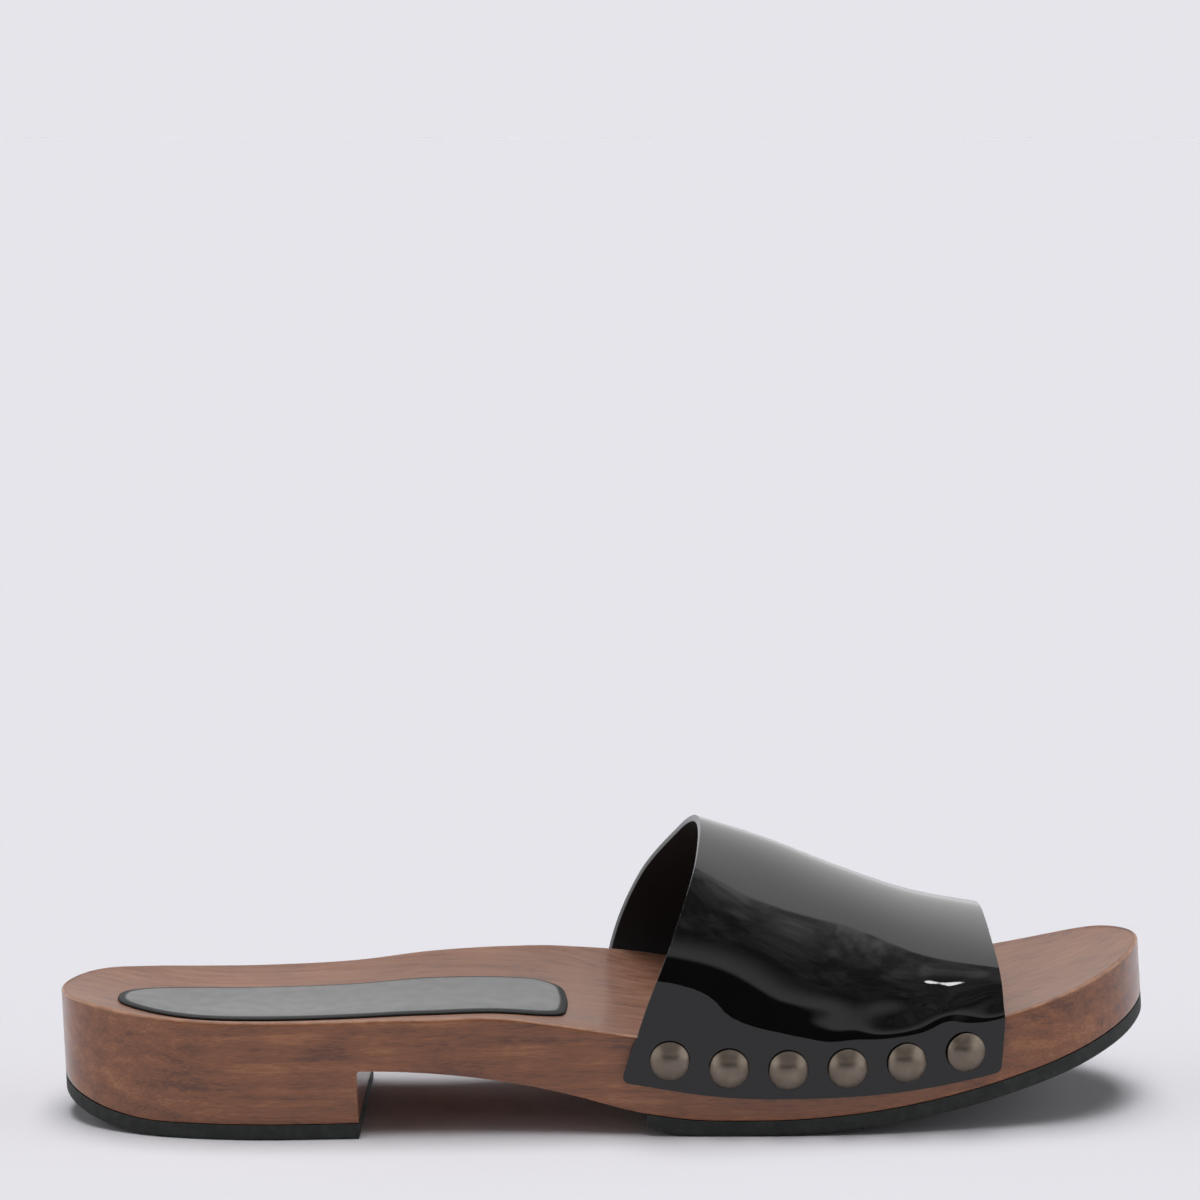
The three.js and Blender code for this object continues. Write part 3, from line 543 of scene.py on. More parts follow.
def stained_wood():
    finish = Finish("stained_wood")
    place = finish.place()
    streaks = finish.noise(finish.scaled(place, STREAKED), detail=4, roughness=0.6)
    pores = finish.ramp(finish.noise(finish.scaled(place, PORED), detail=1), 0.64, 0.74)
    blotches = finish.noise(finish.scaled(place, BLOTCHED), detail=4)
    tone = wood_tone(finish, place, streaks, blotches)
    colour = finish.blend(finish.ramp(tone, 0.0, 0.5), STAIN_DARK, STAIN_MIDDLE)
    colour = finish.blend(finish.ramp(tone, 0.5, 1.0), colour, STAIN_LIGHT)
    colour = finish.blend(finish.maths("MULTIPLY", pores, PORE_DARKNESS), colour, STAIN_DARK)
    colour = finish.blend(knot_shadow(finish, place, blotches), colour, STAIN_DARK)
    # Faces that look up are blended towards a grey-brown: partly trodden dust, partly painted sheen.
    upward = finish.add("SeparateXYZ", {0: finish.add("TexCoord").outputs["Normal"]}).outputs["Z"]
    facing_up = finish.ramp(upward, 0.3, 0.85)
    dust_and_sheen = finish.maths("MULTIPLY", facing_up, finish.spread(streaks, 0.15, 0.55))
    colour = finish.blend(dust_and_sheen, colour, STAIN_DUST_AND_SHEEN)
    worn = finish.ramp(finish.stored("worn"), 0.9, 1.0)
    patchy = finish.maths("MULTIPLY", worn, finish.spread(finish.noise(place, 300), 0.15, 0.5))
    colour = finish.blend(patchy, colour, STAIN_RUBBED)
    relief = finish.maths("MULTIPLY_ADD", pores, -0.6, streaks)
    roughness = finish.maths("MULTIPLY_ADD", facing_up, 0.2, finish.spread(streaks, 0.32, 0.46))
    varnish = finish.ramp(facing_up, 0.0, 1.0, 0.65, 0.16)
    finish.set(base_color=colour, roughness=roughness, coat_weight=varnish, coat_roughness=0.2)
    finish.set(normal=finish.bump(relief, 0.05 * MM, 0.5), specular_ior_level=0.3)
    return finish.material


wood_finish = stained_wood()

# %% [markdown]
# ## The carved sole
# The blank is sawn round the pattern with a wall that leans in a little at the heel and out at the
# toe, then the underside is cut and the top edge is rounded. Here the wall is a stack of rings from
# the underside up to the rim. Only the heel's breast is awkward, because the underside turns
# straight up there. The columns of points fan out over the heel, so each point of the breast has a
# column of its own and no face is stretched.

# %% The path of the underside
HEEL_DRAFT = 2.2
TOE_FLARE = 4
FLARE_START = 0.8
EDGE_ROUND = 0.5 * MM
CORNER_ROUND = 1.1 * MM
CORNER_POINTS = 5
FAN_START = 40 * MM
HEEL_STATIONS = 90
BREAST_ROWS = 12
FRONT_STATIONS = 180


def fillet(corner, arriving, leaving, radius):
    """Points that round off a corner between two directions."""
    t = np.linspace(0, 1, CORNER_POINTS)[:, None]
    start = corner - np.array(arriving) * radius
    end = corner + np.array(leaving) * radius
    return (1 - t) ** 2 * start + 2 * t * (1 - t) * corner + t**2 * end


def underside_path():
    """x and z of the underside from heel to toe, with the breast, and x of the rim above each point."""
    foot = np.array([HEEL_LENGTH + BREAST_LEAN, TREAD_THICKNESS + FIT_GAP])
    top = np.array([HEEL_LENGTH, ARCH_HEIGHT])
    up = (top - foot) / np.linalg.norm(top - foot)
    heel_x = stations(sole_edges.start, foot[0] - CORNER_ROUND, HEEL_STATIONS)
    heel = np.stack([heel_x, under_wood(np.minimum(heel_x, HEEL_LENGTH))], axis=1)
    lower = fillet(foot, (1, 0), up, EDGE_ROUND)
    upper = fillet(top, up, (1, 0), CORNER_ROUND)
    breast = np.linspace(lower[-1], upper[0], BREAST_ROWS)[1:-1]
    to_toe = np.sin(np.linspace(0, np.pi / 2, FRONT_STATIONS))[1:]
    arch_x = between(upper[-1, 0], sole_edges.end, to_toe)
    arch = np.stack([arch_x, under_wood(arch_x)], axis=1)
    path = np.vstack([heel, lower, breast, upper, arch])
    walked = np.concatenate([[0], np.cumsum(np.linalg.norm(np.diff(path, axis=0), axis=1))])
    starts = np.searchsorted(path[: len(heel), 0], FAN_START)
    ends = len(heel) + len(lower) + len(breast) + len(upper) - 1
    rim_x = path[:, 0].copy()
    fan = (walked[starts : ends + 1] - walked[starts]) / (walked[ends] - walked[starts])
    rim_x[starts : ends + 1] = between(path[starts, 0], path[ends, 0], fan)
    steep = np.zeros(len(path), bool)
    steep[len(heel) : ends + 1] = True
    return path, rim_x, steep


underside, rim_x, at_breast = underside_path()
print("Columns of points along the sole:", len(underside))

# %% The sole's wall, underside and footbed
WALL_RINGS = 14
RIM_TURNS = (15, 30, 45, 60, 75, 90)
DISH_TURN = 14
FOOTBED_COLUMNS = 56
UNDERSIDE_COLUMNS = 16


def wall_points(x, z, side, further=0.0):
    """Points on the sole's wall above x at height z, drawn in from it by a further inset."""
    lean = HEEL_DRAFT - (HEEL_DRAFT + TOE_FLARE) * ease(x / SOLE_LENGTH, FLARE_START, 1)
    inset = np.tan(np.radians(lean)) * (rim_height(x, side) - z) + further
    out_x, out_y = sole_edges.outward(x, side)
    return points_of(x - out_x * inset, sole_edges.y(x, side) - out_y * inset, z)


def rounded(radius, degrees):
    """How far each turn of a rounded edge lies from its start and from its end."""
    turns = [np.radians(turn) for turn in degrees]
    return [(radius * (1 - np.cos(turn)), radius * (1 - np.sin(turn))) for turn in turns]


def both_walls(x, z, further=0.0):
    """The same row of points on the outer and on the inner wall."""
    return [wall_points(x, z, side, further) for side in (0, 1)]


def carved_sole():
    slope = np.gradient(underside, axis=0)
    into_wood = np.stack([-slope[:, 1], slope[:, 0]], axis=1)
    into_wood /= np.linalg.norm(into_wood, axis=1)[:, None]
    into_wood[~at_breast] = (0, 1)
    rings = []
    for lift, inset in rounded(EDGE_ROUND, (0, 30, 60, 90)):
        x, z = (underside + into_wood * lift).T
        rings.append(both_walls(x, z, inset))
    for share in np.linspace(0, 1, WALL_RINGS)[1:]:
        ring = []
        for side in (0, 1):
            wall_z = between(z, rim_height(rim_x, side) - RIM_RADIUS, share)
            ring.append(wall_points(between(x, rim_x, share), wall_z, side))
        rings.append(ring)
    into_dish = 90 + DISH_TURN * np.clip(dish_depth(rim_x / SOLE_LENGTH), 0, 1)
    for inset, drop in rounded(RIM_RADIUS, (*RIM_TURNS, into_dish)):
        rings.append([wall_points(rim_x, rim_height(rim_x, side) - drop, side, inset) for side in (0, 1)])
    return closed_form("carved_sole", rings, UNDERSIDE_COLUMNS, FOOTBED_COLUMNS, above=footbed_height)


sole = add_piece("carved_sole", carved_sole(), [wood_finish], "wood", "wood_sole")

# %% [markdown]
# ## Rubbed edges
# Varnish and stain wear first where the wood turns a corner. Painting that by hand is one way, and
# measuring it is another: where two faces meet at an angle that bulges outward, the surface turns.
# The angle is stored on each point, spread a little to its neighbours, and read by the wood's
# finish.

# %% Measure how much each point sticks out
WORN_ANGLE = math.radians(13)
WORN_SPREAD = 2


def mark_worn_edges(piece):
    """Stores 0 to 1 on each point of a piece: how much the surface bulges there."""
    measuring = bmesh.new()
    measuring.from_mesh(piece.data)
    bulge = np.zeros(len(measuring.verts))
    pairs = []
    for edge in measuring.edges:
        first, second = (vertex.index for vertex in edge.verts)
        pairs.append((first, second))
        angle = edge.calc_face_angle_signed(0.0)
        bulge[first] = max(bulge[first], angle)
        bulge[second] = max(bulge[second], angle)
    measuring.free()
    pairs = np.array(pairs)
    worn = np.clip(bulge / WORN_ANGLE, 0, 1)
    for _ in range(WORN_SPREAD):
        total = worn.copy()
        count = np.ones(len(worn))
        for start, end in ((0, 1), (1, 0)):
            np.add.at(total, pairs[:, start], worn[pairs[:, end]])
            np.add.at(count, pairs[:, start], 1)
        worn = total / count
    stored = piece.data.attributes.new("worn", "FLOAT", "POINT")
    stored.data.foreach_set("value", worn.astype(np.float32))
    print(piece.name, "has", int((worn > 0.5).sum()), "worn points")


mark_worn_edges(sole)

# %% [markdown]
# ## Rubber treads
# A sheet of black rubber is glued under the heel and another under the ball and toe, and both are
# trimmed flush with the wood. They follow the same functions as the wood, one line of glue lower,
# with a rounded lower edge. Rubber has no varnish, so it is nearly matt, with the fine pebble that
# its mould leaves and a trace of dust in it.

# %% Finish of the rubber
RUBBER_BLACK = rgb(38, 40, 39)
RUBBER_DUSTY = rgb(50, 52, 51)
DUST_PATCHES = 420
PEBBLES = 2600


def moulded_rubber():
    finish = Finish("moulded_rubber")
    place = finish.place()
    dust = finish.ramp(finish.noise(place, DUST_PATCHES, 4), 0.4, 0.75)
    pebble = finish.noise(place, PEBBLES, 1)
    finish.set(base_color=finish.blend(dust, RUBBER_BLACK, RUBBER_DUSTY), roughness=0.72)
    finish.set(normal=finish.bump(pebble, 0.04 * MM, 0.5), specular_ior_level=0.35)
    return finish.material


rubber_finish = moulded_rubber()

# %% The heel tread and the forefoot tread
TREAD_EDGE = 0.8 * MM
TREAD_START = 140.6 * MM
TREAD_LEAD = 12 * MM
TREAD_LEAD_RISE = 2.5 * MM
TREAD_STATIONS = 120
TREAD_COLUMNS = 24
TREAD_RINGS = 5
GLUE_LINE = 0.06 * MM


def tread(name, x, bottom):
    """A sheet of rubber between the ground and the wood, over the given stations."""
    under = np.where(x < HEEL_LENGTH + CORNER_ROUND, np.minimum(x, HEEL_LENGTH), x)
    top = under_wood(under, GLUE_LINE)
    rings = []
    for rise, inset in rounded(TREAD_EDGE, (0, 22, 45, 68, 90)):
        rings.append(both_walls(x, bottom + rise, inset))
    for share in np.linspace(0, 1, TREAD_RINGS)[1:]:
        rings.append(both_walls(x, between(bottom + TREAD_EDGE, top, share)))
    return closed_form(name, rings, TREAD_COLUMNS, TREAD_COLUMNS)


def lead_in(x):
    """How far the back end of the forefoot tread has risen off the floor."""
    step = TREAD_LEAD / 3
    t = np.clip(np.sqrt(1 + np.maximum(x - TREAD_START, 0) / step) - 1, 0, 1)
    return (1 - t) ** 2 * TREAD_LEAD_RISE


heel_x = stations(sole_edges.start, HEEL_LENGTH + BREAST_LEAN, HEEL_STATIONS)
heel_rubber = tread("heel_rubber", heel_x, roll_up(heel_x))
add_piece("heel_rubber", heel_rubber, [rubber_finish], "rubber", "heel_tread")
toe_x = stations(TREAD_START, sole_edges.end, TREAD_STATIONS)
toe_bottom = np.where(toe_x < TREAD_START + TREAD_LEAD, lead_in(toe_x), roll_up(toe_x))
forefoot_rubber = tread("forefoot_rubber", toe_x, toe_bottom)
add_piece("forefoot_rubber", forefoot_rubber, [rubber_finish], "rubber", "forefoot_tread")

# %% [markdown]
# ## The heel pad
# A thin foam pad covered in soft black leather is glued into the seat of the heel. Its edge is
# rolled tight, its margin is darkened, partly by edge ink and partly by painted shade of the thin gap
# round the pad, and its middle swells by about a millimetre. Cloth simulation makes good cushions,
# but on a pad this thin the remesh would eat the rolled edge, so the swell is a function of the
# distance to the edge. Leather also never lies quite flat over foam, and a few broad, shallow waves
# keep its sheen from looking machined.

# %% Finish of the pad's leather
PAD_BLACK = rgb(56, 58, 60)
SKIN_CELLS = 1500.0
HIDE_PATCHES = 240
# Colour of the pad's dark margin: edge ink, with painted shade of the thin gap round the pad.
INK_AND_SHADE_BLACK = rgb(10, 10, 11)
DARK_MARGIN_ROUGHNESS = 0.85


def soft_leather():
    finish = Finish("soft_leather")
    place = finish.place()
    skin = {"Vector": place, "Scale": SKIN_CELLS}
    cells = finish.add("TexVoronoi", skin, feature="DISTANCE_TO_EDGE").outputs[0]
    grain = finish.ramp(cells, 0.0, 0.16)
    hide = finish.noise(place, HIDE_PATCHES, 3)
    relief = finish.maths("MULTIPLY_ADD", hide, 0.8, grain)
    inked_and_shaded = finish.stored("inked_and_shaded")
    sheen = finish.spread(hide, 0.3, 0.36)
    roughness = finish.ramp(inked_and_shaded, 0.0, 1.0, sheen, DARK_MARGIN_ROUGHNESS)
    # The margin is darkened: edge ink and painted shade of the gap round the pad.
    finish.set(base_color=finish.blend(inked_and_shaded, PAD_BLACK, INK_AND_SHADE_BLACK), roughness=roughness)
    finish.set(normal=finish.bump(relief, 0.02 * MM, 0.5), specular_ior_level=0.65)
    return finish.material


pad_finish = soft_leather()

# %% The pad itself
PAD_EDGE = 0.6 * MM
PAD_CROWN = 1.5 * MM
PAD_SHOULDER = 8 * MM
PAD_WAVE = 0.05 * MM
DARK_MARGIN_REACH = 2.4 * MM
PAD_STATIONS = 150
PAD_COLUMNS = 64
# Each row: share of the sole's length, share of the way from the outer to the inner rim.
PAD_OUTLINE = [
    (0.0529, 0.46), (0.0584, 0.33), (0.084, 0.26), (0.1216, 0.235), (0.1769, 0.212), (0.2873, 0.212),
    (0.3977, 0.2), (0.4449, 0.2), (0.4614, 0.24), (0.466, 0.34), (0.4655, 0.48), (0.459, 0.6),
    (0.439, 0.675), (0.412, 0.705), (0.3676, 0.73), (0.2873, 0.755), (0.1769, 0.765), (0.1166, 0.76),
    (0.0795, 0.7), (0.0594, 0.6),
]


def pad_place(along, across):
    x = along * SOLE_LENGTH
    return (x, between(sole_edges.y(x, 0), sole_edges.y(x, 1), across))


pad_edges = Edges(np.array([pad_place(*row) for row in PAD_OUTLINE]))
pad_border = np.vstack(pad_edges.sides)


def from_pad_edge(x, y):
    """Distance to the pad's edge. Every third point of the edge is close enough."""
    away = np.full(np.shape(x), 1.0)
    for corner in pad_border[::3]:
        away = np.minimum(away, np.hypot(x - corner[0], y - corner[1]))
    return away


def pad_seat(x, y):
    return footbed_height(x, y) + GLUE_LINE


def pad_height(x, y):
    """Height of the pad's swollen and slightly wavy top."""
    swell = 1 - (1 - np.minimum(from_pad_edge(x, y) / PAD_SHOULDER, 1)) ** 2
    bent = np.sin(x / (9 * MM) + 1.3 * np.sin(y / (7 * MM)))
    waves = PAD_WAVE * bent * np.sin(y / (8 * MM) + 0.6)
    return pad_seat(x, y) + between(PAD_EDGE, PAD_CROWN, swell) + waves * swell


def heel_pad():
    x = stations(pad_edges.start, pad_edges.end, PAD_STATIONS)
    roll = PAD_EDGE / 2
    rings = []
    for turn in np.radians((-90, -60, -30, 0, 30, 60, 90)):
        inset = roll * (1 - np.cos(turn))
        ring = []
        for side in (0, 1):
            out_x, out_y = pad_edges.outward(x, side)
            ring_x = x - out_x * inset
            ring_y = pad_edges.y(x, side) - out_y * inset
            ring.append(points_of(ring_x, ring_y, pad_seat(ring_x, ring_y) + roll * (1 + np.sin(turn))))
        rings.append(ring)
    return closed_form("heel_cushion", rings, PAD_COLUMNS, PAD_COLUMNS, pad_seat, pad_height)


pad = add_piece("heel_cushion", heel_pad(), [pad_finish], "padding", "heel_pad")
pad_points = np.array([vertex.co for vertex in pad.data.vertices]) - SHIFT
# How far the dark margin reaches in from the pad's edge: edge ink and painted shade of the gap.
inked_and_shaded = 1 - ease(from_pad_edge(pad_points[:, 0], pad_points[:, 1]), DARK_MARGIN_REACH / 2, DARK_MARGIN_REACH)
pad.data.attributes.new("inked_and_shaded", "FLOAT", "POINT").data.foreach_set("value", inked_and_shaded)

# %% [markdown]
# ## The strap
# One piece of patent leather, lined and painted along its cut edge, is bent over the foot and
# nailed to both sides of the wood. Its shape is a family of arches: each runs up the wall, over the
# foot and down again, and they shrink from the back edge to the front. A cloth simulation would sag
# it as if it were cloth, and patent leather is springy, so the arches are drawn directly. A sheet
# is made for the outside face, and Blender's Solidify modifier gives it the leather's thickness
# with the lining and the painted edge as materials of their own.

# %% Arches of the strap
STRAP_WALL = 1.6 * MM
STRAP_BACK_CREST = 67.6 * MM
STRAP_FRONT_CREST = 44.6 * MM
STRAP_HEM_CORNER = 1.4 * MM
WALL_TURN = 30
# Degrees round the arch at which the outer and the inner hem lie.
HEM_TURNS = (-WALL_TURN, 180 + WALL_TURN)

# Each row: degrees round the arch, then the strap's back and front edge as shares of the sole's length.
STRAP_EDGES = [
    (-30, 0.5172, 0.8571), (0, 0.5298, 0.8596), (30, 0.5597, 0.858), (60, 0.5819, 0.8531),
    (90, 0.5859, 0.8514), (120, 0.5699, 0.8509), (150, 0.5338, 0.8494), (180, 0.5081, 0.8454),
    (210, 0.4951, 0.8414),
]
# Each row: share from back to front, share of the fall of the crest, power of the arch, and the outer
# and the inner hem's height as shares of the height at the ball.
STRAP_SECTIONS = [
    (0, 0, 1, 0.608, 0.64), (0.25, 0.265, 1.03, 0.46, 0.5), (0.5, 0.578, 1.06, 0.415, 0.44),
    (0.75, 0.843, 1.08, 0.36, 0.38), (1, 1, 1.08, 0.31, 0.33),
]
turns, *columns = zip(*STRAP_EDGES)
strap_back, strap_front = (column_curve(turns, column) for column in columns)
shares, *columns = zip(*STRAP_SECTIONS)
crest_fall, arch_power, *hem_shares = (column_curve(shares, column) for column in columns)


def strap_x(at, turn):
    return SOLE_LENGTH * between(strap_back(turn), strap_front(turn), at)


def hem_length(side):
    return strap_x(1, HEM_TURNS[side]) - strap_x(0, HEM_TURNS[side])


def hem_height(at, side):
    """Height of the strap's lower edge, with its corners rounded up at both ends."""
    to_end = np.minimum(at, 1 - at) * hem_length(side)
    in_corner = np.maximum(STRAP_HEM_CORNER - to_end, 0)
    corner = STRAP_HEM_CORNER - np.sqrt(STRAP_HEM_CORNER**2 - in_corner**2)
    return hem_shares[side](at) * BALL_HEIGHT + toe_lift(strap_x(at, HEM_TURNS[side])) + corner


def strap_inside(at, turn):
    """A point of the strap's inside face, for at from back 0 to front 1 and a turn in degrees."""
    at, turn = np.broadcast_arrays(np.asarray(at, float), np.asarray(turn, float))
    x = strap_x(at, turn)
    walls = []
    edge_y = []
    for side, outward in ((0, -1), (1, 1)):
        down = np.clip((turn - 180 if side else -turn) / WALL_TURN, 0, 1)
        z = between(rim_height(x, side), hem_height(at, side), down)
        lean = math.tan(math.radians(HEEL_DRAFT)) * (rim_height(x, side) - z)
        walls.append((sole_edges.y(x, side) + (FIT_GAP - lean) * outward, z))
        edge_y.append(sole_edges.y(x, side) + FIT_GAP * outward)
    power = arch_power(at)
    cosine = np.cos(np.radians(turn))
    across = (1 - np.sign(cosine) * np.abs(cosine) ** power) / 2
    upward = np.abs(np.sin(np.radians(turn))) ** power
    crest = between(STRAP_BACK_CREST, STRAP_FRONT_CREST, crest_fall(at))
    y = between(*edge_y, across)
    z = between(rim_between(x, across), crest, upward)
    y = np.where(turn <= 0, walls[0][0], np.where(turn >= 180, walls[1][0], y))
    z = np.where(turn <= 0, walls[0][1], np.where(turn >= 180, walls[1][1], z))
    return points_of(x, y, z)


def strap_outward(at, turn):
    """Direction out of the strap."""
    step = 0.001
    at = np.asarray(at, float)
    along = strap_inside(np.minimum(at + step, 1), turn) - strap_inside(np.maximum(at - step, 0), turn)
    around = strap_inside(at, turn + 1) - strap_inside(at, turn - 1)
    out = np.cross(along, around)
    return out / np.linalg.norm(out, axis=-1, keepdims=True)


crest_point = strap_inside(0.0, 90.0) / MM
print("Top of the strap's back edge, in millimetres:", np.round(crest_point, 1))

# %% Where the nails go
STUD_COUNT = 6
STUD_RADIUS = 4.7 * MM
STUD_ABOVE_HEM = 7 * MM
STUD_BACK_MARGIN = 10.9 * MM
STUD_FRONT_MARGIN = 8.6 * MM


def nail_seats(side):
    """Share along the strap and turn of each nail on one side, evenly along the hem."""
    back = strap_x(0, HEM_TURNS[side])
    last = strap_x(1, HEM_TURNS[side]) - STUD_FRONT_MARGIN
    seats = []
    for x in np.linspace(back + STUD_BACK_MARGIN, last, STUD_COUNT):
        along = (x - back) / hem_length(side)
        down = 1 - STUD_ABOVE_HEM / (rim_height(x, side) - hem_height(along, side))
        turn = 180 + WALL_TURN * down if side else -WALL_TURN * down
        at = (x - strap_x(0, turn)) / (strap_x(1, turn) - strap_x(0, turn))
        seats.append((float(at), float(turn)))
    return seats


seats = [nail_seats(side) for side in (0, 1)]
print("Outer nails, share along the strap and turn:", [(round(a, 2), round(t, 1)) for a, t in seats[0]])

# %% [markdown]
# ## How the leather moves
# Patent leather shows every hollow as a bend in a reflection, so its small waves matter more than
# its outline. Each nail pulls the leather in round its head, and between nails it swells. Above the
# rim it bulges before it turns over the foot, more at the back edge than at the front. These are
# soft bumps, listed in a table, in millimetres.

# %% Hollows and swellings
NAIL_HOLLOW = 0.35 * MM
NAIL_REACH = 6.5 * MM
# Each row: share along the strap, turn, width along as a share, width round in degrees, millimetres out.
STRAP_WAVES = [
    (0.00, 34, 0.28, 14, 1.9), (0.06, 20, 0.32, 9, 0.6), (0.00, 54, 0.13, 10, 0.7), (0.50, 9, 0.10, 9, -0.9),
    (0.68, 13, 0.10, 8, -1.1), (0.59, 12, 0.05, 8, 0.3), (0.14, 48, 0.18, 10, 0.3), (0.18, 34, 0.25, 13, 1.0),
    (0.47, 6.5, 0.07, 7, 0.38), (0.83, 12, 0.05, 8, 0.6), (0.98, 11, 0.06, 8, -0.6),
    (0.58, 40, 0.26, 20, -1.2),
    # The inner side.
    (0.10, 168, 0.18, 14, 0.5), (0.45, 170, 0.12, 9, -0.4), (0.75, 166, 0.12, 10, -0.5),
]


def leather_waves(at, turn, points):
    """How far the outside of the strap is moved out at each of its points."""
    height = np.zeros_like(at)
    for along, around, wide, round_wide, amount in STRAP_WAVES:
        height += amount * MM * np.exp(-(((at - along) / wide) ** 2) - ((turn - around) / round_wide) ** 2)
    for side_seats in seats:
        for seat_at, seat_turn in side_seats:
            away = np.linalg.norm(points - strap_inside(seat_at, seat_turn), axis=-1)
            height -= NAIL_HOLLOW * np.exp(-((away / NAIL_REACH) ** 2))
    return height


print("Hand-placed waves in the strap:", len(STRAP_WAVES))

# %% [markdown]
# ## Patent leather
# Patent leather is black leather under a thick clear lacquer. The lacquer is a sharp mirror, and
# the leather below it only shows as a faint orange-peel wave in that mirror. So the finish is a
# nearly black base with a full clear coat, and its only relief is broad and very shallow. The
# lining is matt, and the cut edge is painted.

# %% Finishes of the strap
PATENT_BLACK = rgb(9, 9, 10)
LINING_BLACK = rgb(24, 24, 26)
EDGE_PAINT = rgb(46, 46, 48)
ORANGE_PEEL = 260
HIDE_WAVES = (60, 90, 90)


def patent_leather():
    finish = Finish("patent_leather")
    place = finish.place()
    peel = finish.noise(place, ORANGE_PEEL)
    broad = finish.noise(finish.scaled(place, HIDE_WAVES))
    relief = finish.maths("MULTIPLY_ADD", broad, 3.0, peel)
    ripple = finish.bump(relief, 0.03 * MM, 0.2)
    finish.set(base_color=PATENT_BLACK, roughness=0.35, specular_ior_level=0.0)
    finish.set(coat_weight=1.0, coat_roughness=0.015, coat_normal=ripple)
    return finish.material


def strap_lining():
    finish = Finish("strap_lining")
    nap = finish.noise(finish.place(), 1400, 3)
    finish.set(base_color=LINING_BLACK, roughness=0.7, normal=finish.bump(nap, 0.04 * MM, 0.5))
    return finish.material


def painted_edge():
    finish = Finish("painted_edge")
    drips = finish.noise(finish.place(), 500, 2)
    finish.set(base_color=EDGE_PAINT, roughness=0.16, normal=finish.bump(drips, 0.06 * MM, 0.7))
    return finish.material


strap_finishes = [patent_leather(), strap_lining(), painted_edge()]

# %% The strap's sheet and its thickness
STRAP_STATIONS = 130
STRAP_ARCH_ROWS = 150
STRAP_WALL_ROWS = 16
HEM_CORNER_POINTS = 8
EDGE_SOFT = 0.45 * MM


def strap_sheet():
    corner = STRAP_HEM_CORNER / hem_length(0)
    round_in = corner * (1 - np.cos(np.linspace(0, np.pi / 2, HEM_CORNER_POINTS)))[:-1]
    at = np.concatenate([round_in, np.linspace(corner, 1 - corner, STRAP_STATIONS), 1 - round_in[::-1]])
    turn = np.concatenate([
        np.linspace(-WALL_TURN, 0, STRAP_WALL_ROWS, endpoint=False),
        np.linspace(0, 180, STRAP_ARCH_ROWS),
        np.linspace(180, 180 + WALL_TURN, STRAP_WALL_ROWS + 1)[1:],
    ])
    at, turn = np.meshgrid(at, turn, indexing="ij")
    inside = strap_inside(at, turn)
    lift = STRAP_WALL + leather_waves(at, turn, inside)
    return mesh_from_patches("patent_strap", [inside + strap_outward(at, turn) * lift[..., None]])


strap_mesh = strap_sheet()
crest_normal = max(strap_mesh.polygons, key=lambda face: face.center.z).normal
if crest_normal.z < 0:
    strap_mesh.flip_normals()
strap = add_piece("patent_strap", strap_mesh, strap_finishes, "patent", "strap")
thickness = strap.modifiers.new("thickness", "SOLIDIFY")
thickness.thickness = STRAP_WALL
thickness.offset = -1
thickness.material_offset = 1
thickness.material_offset_rim = 2
soft_edge = strap.modifiers.new("soft_edge", "BEVEL")
soft_edge.width = EDGE_SOFT
soft_edge.segments = 3
soft_edge.limit_method = "ANGLE"
soft_edge.angle_limit = math.radians(55)
# What the modifiers make becomes the strap's own mesh.
shaped = strap.evaluated_get(bpy.context.evaluated_depsgraph_get())
strap.data = bpy.data.meshes.new_from_object(shaped)
strap.modifiers.clear()
print("With its thickness the strap has", len(strap.data.polygons), "faces")

# %% [markdown]
# ## Domed nails
# The nails that hold the strap have domed heads of antiqued bronze, clouded darker and brighter.
# Each head is a profile turned round an axis, which Blender's Screw modifier would do as well.
# Doing it with points keeps the axis on the direction that the strap faces under each nail.

# %% Finish of the nails
BRONZE_DARK = rgb(106, 96, 86)
BRONZE_LIGHT = rgb(136, 125, 113)
BRUSHED = (900, 900, 5200)


def antique_bronze():
    finish = Finish("antique_bronze")
    place = finish.place()
    cloud = finish.ramp(finish.noise(place, 300, 3), 0.3, 0.8, 0.25, 0.75)
    brushed = finish.noise(finish.scaled(place, BRUSHED), detail=3)
    finish.set(base_color=finish.blend(cloud, BRONZE_DARK, BRONZE_LIGHT), metallic=1.0)
    finish.set(roughness=finish.spread(brushed, 0.31, 0.37), normal=finish.bump(brushed, 0.01 * MM, 0.1))
    return finish.material


bronze_finish = antique_bronze()

# %% Turn and seat the nails
STUD_DOME = 2.5 * MM
STUD_RIM = 0.5 * MM
STUD_SLOPE = math.radians(46)
STUD_SINK = 0.25 * MM
STUD_SIDES = 56


def nail_profile():
    """Radius and height of the head, from its underside to the middle of its dome."""
    lip = [(0, 0), (STUD_RADIUS - 0.35 * MM, 0), (STUD_RADIUS - 0.1 * MM, 0.1 * MM), (STUD_RADIUS, 0.3 * MM)]
    ball = (STUD_RADIUS - 0.05 * MM) / math.sin(STUD_SLOPE)
    tilt = np.linspace(STUD_SLOPE, 0, 24)
    rise = ball * (np.cos(tilt) - math.cos(STUD_SLOPE))
    dome = np.stack([ball * np.sin(tilt), STUD_RIM + (STUD_DOME - STUD_RIM) * rise / rise[-1]], axis=1)
    return np.vstack([lip, dome])


def nail_head(name, at, turn):
    out = strap_outward(at, turn)
    middle = strap_inside(at, turn) + out * (STRAP_WALL + FIT_GAP - STUD_SINK)
    level = np.cross(out, (0, 0, 1))
    level = level / np.linalg.norm(level)
    upward = np.cross(level, out)
    angle = np.linspace(0, 2 * np.pi, STUD_SIDES + 1)[None, :, None]
    radius, height = nail_profile().T[:, :, None, None]
    points = middle + radius * (np.cos(angle) * level + np.sin(angle) * upward) + height * out
    return mesh_from_patches(name, [points])


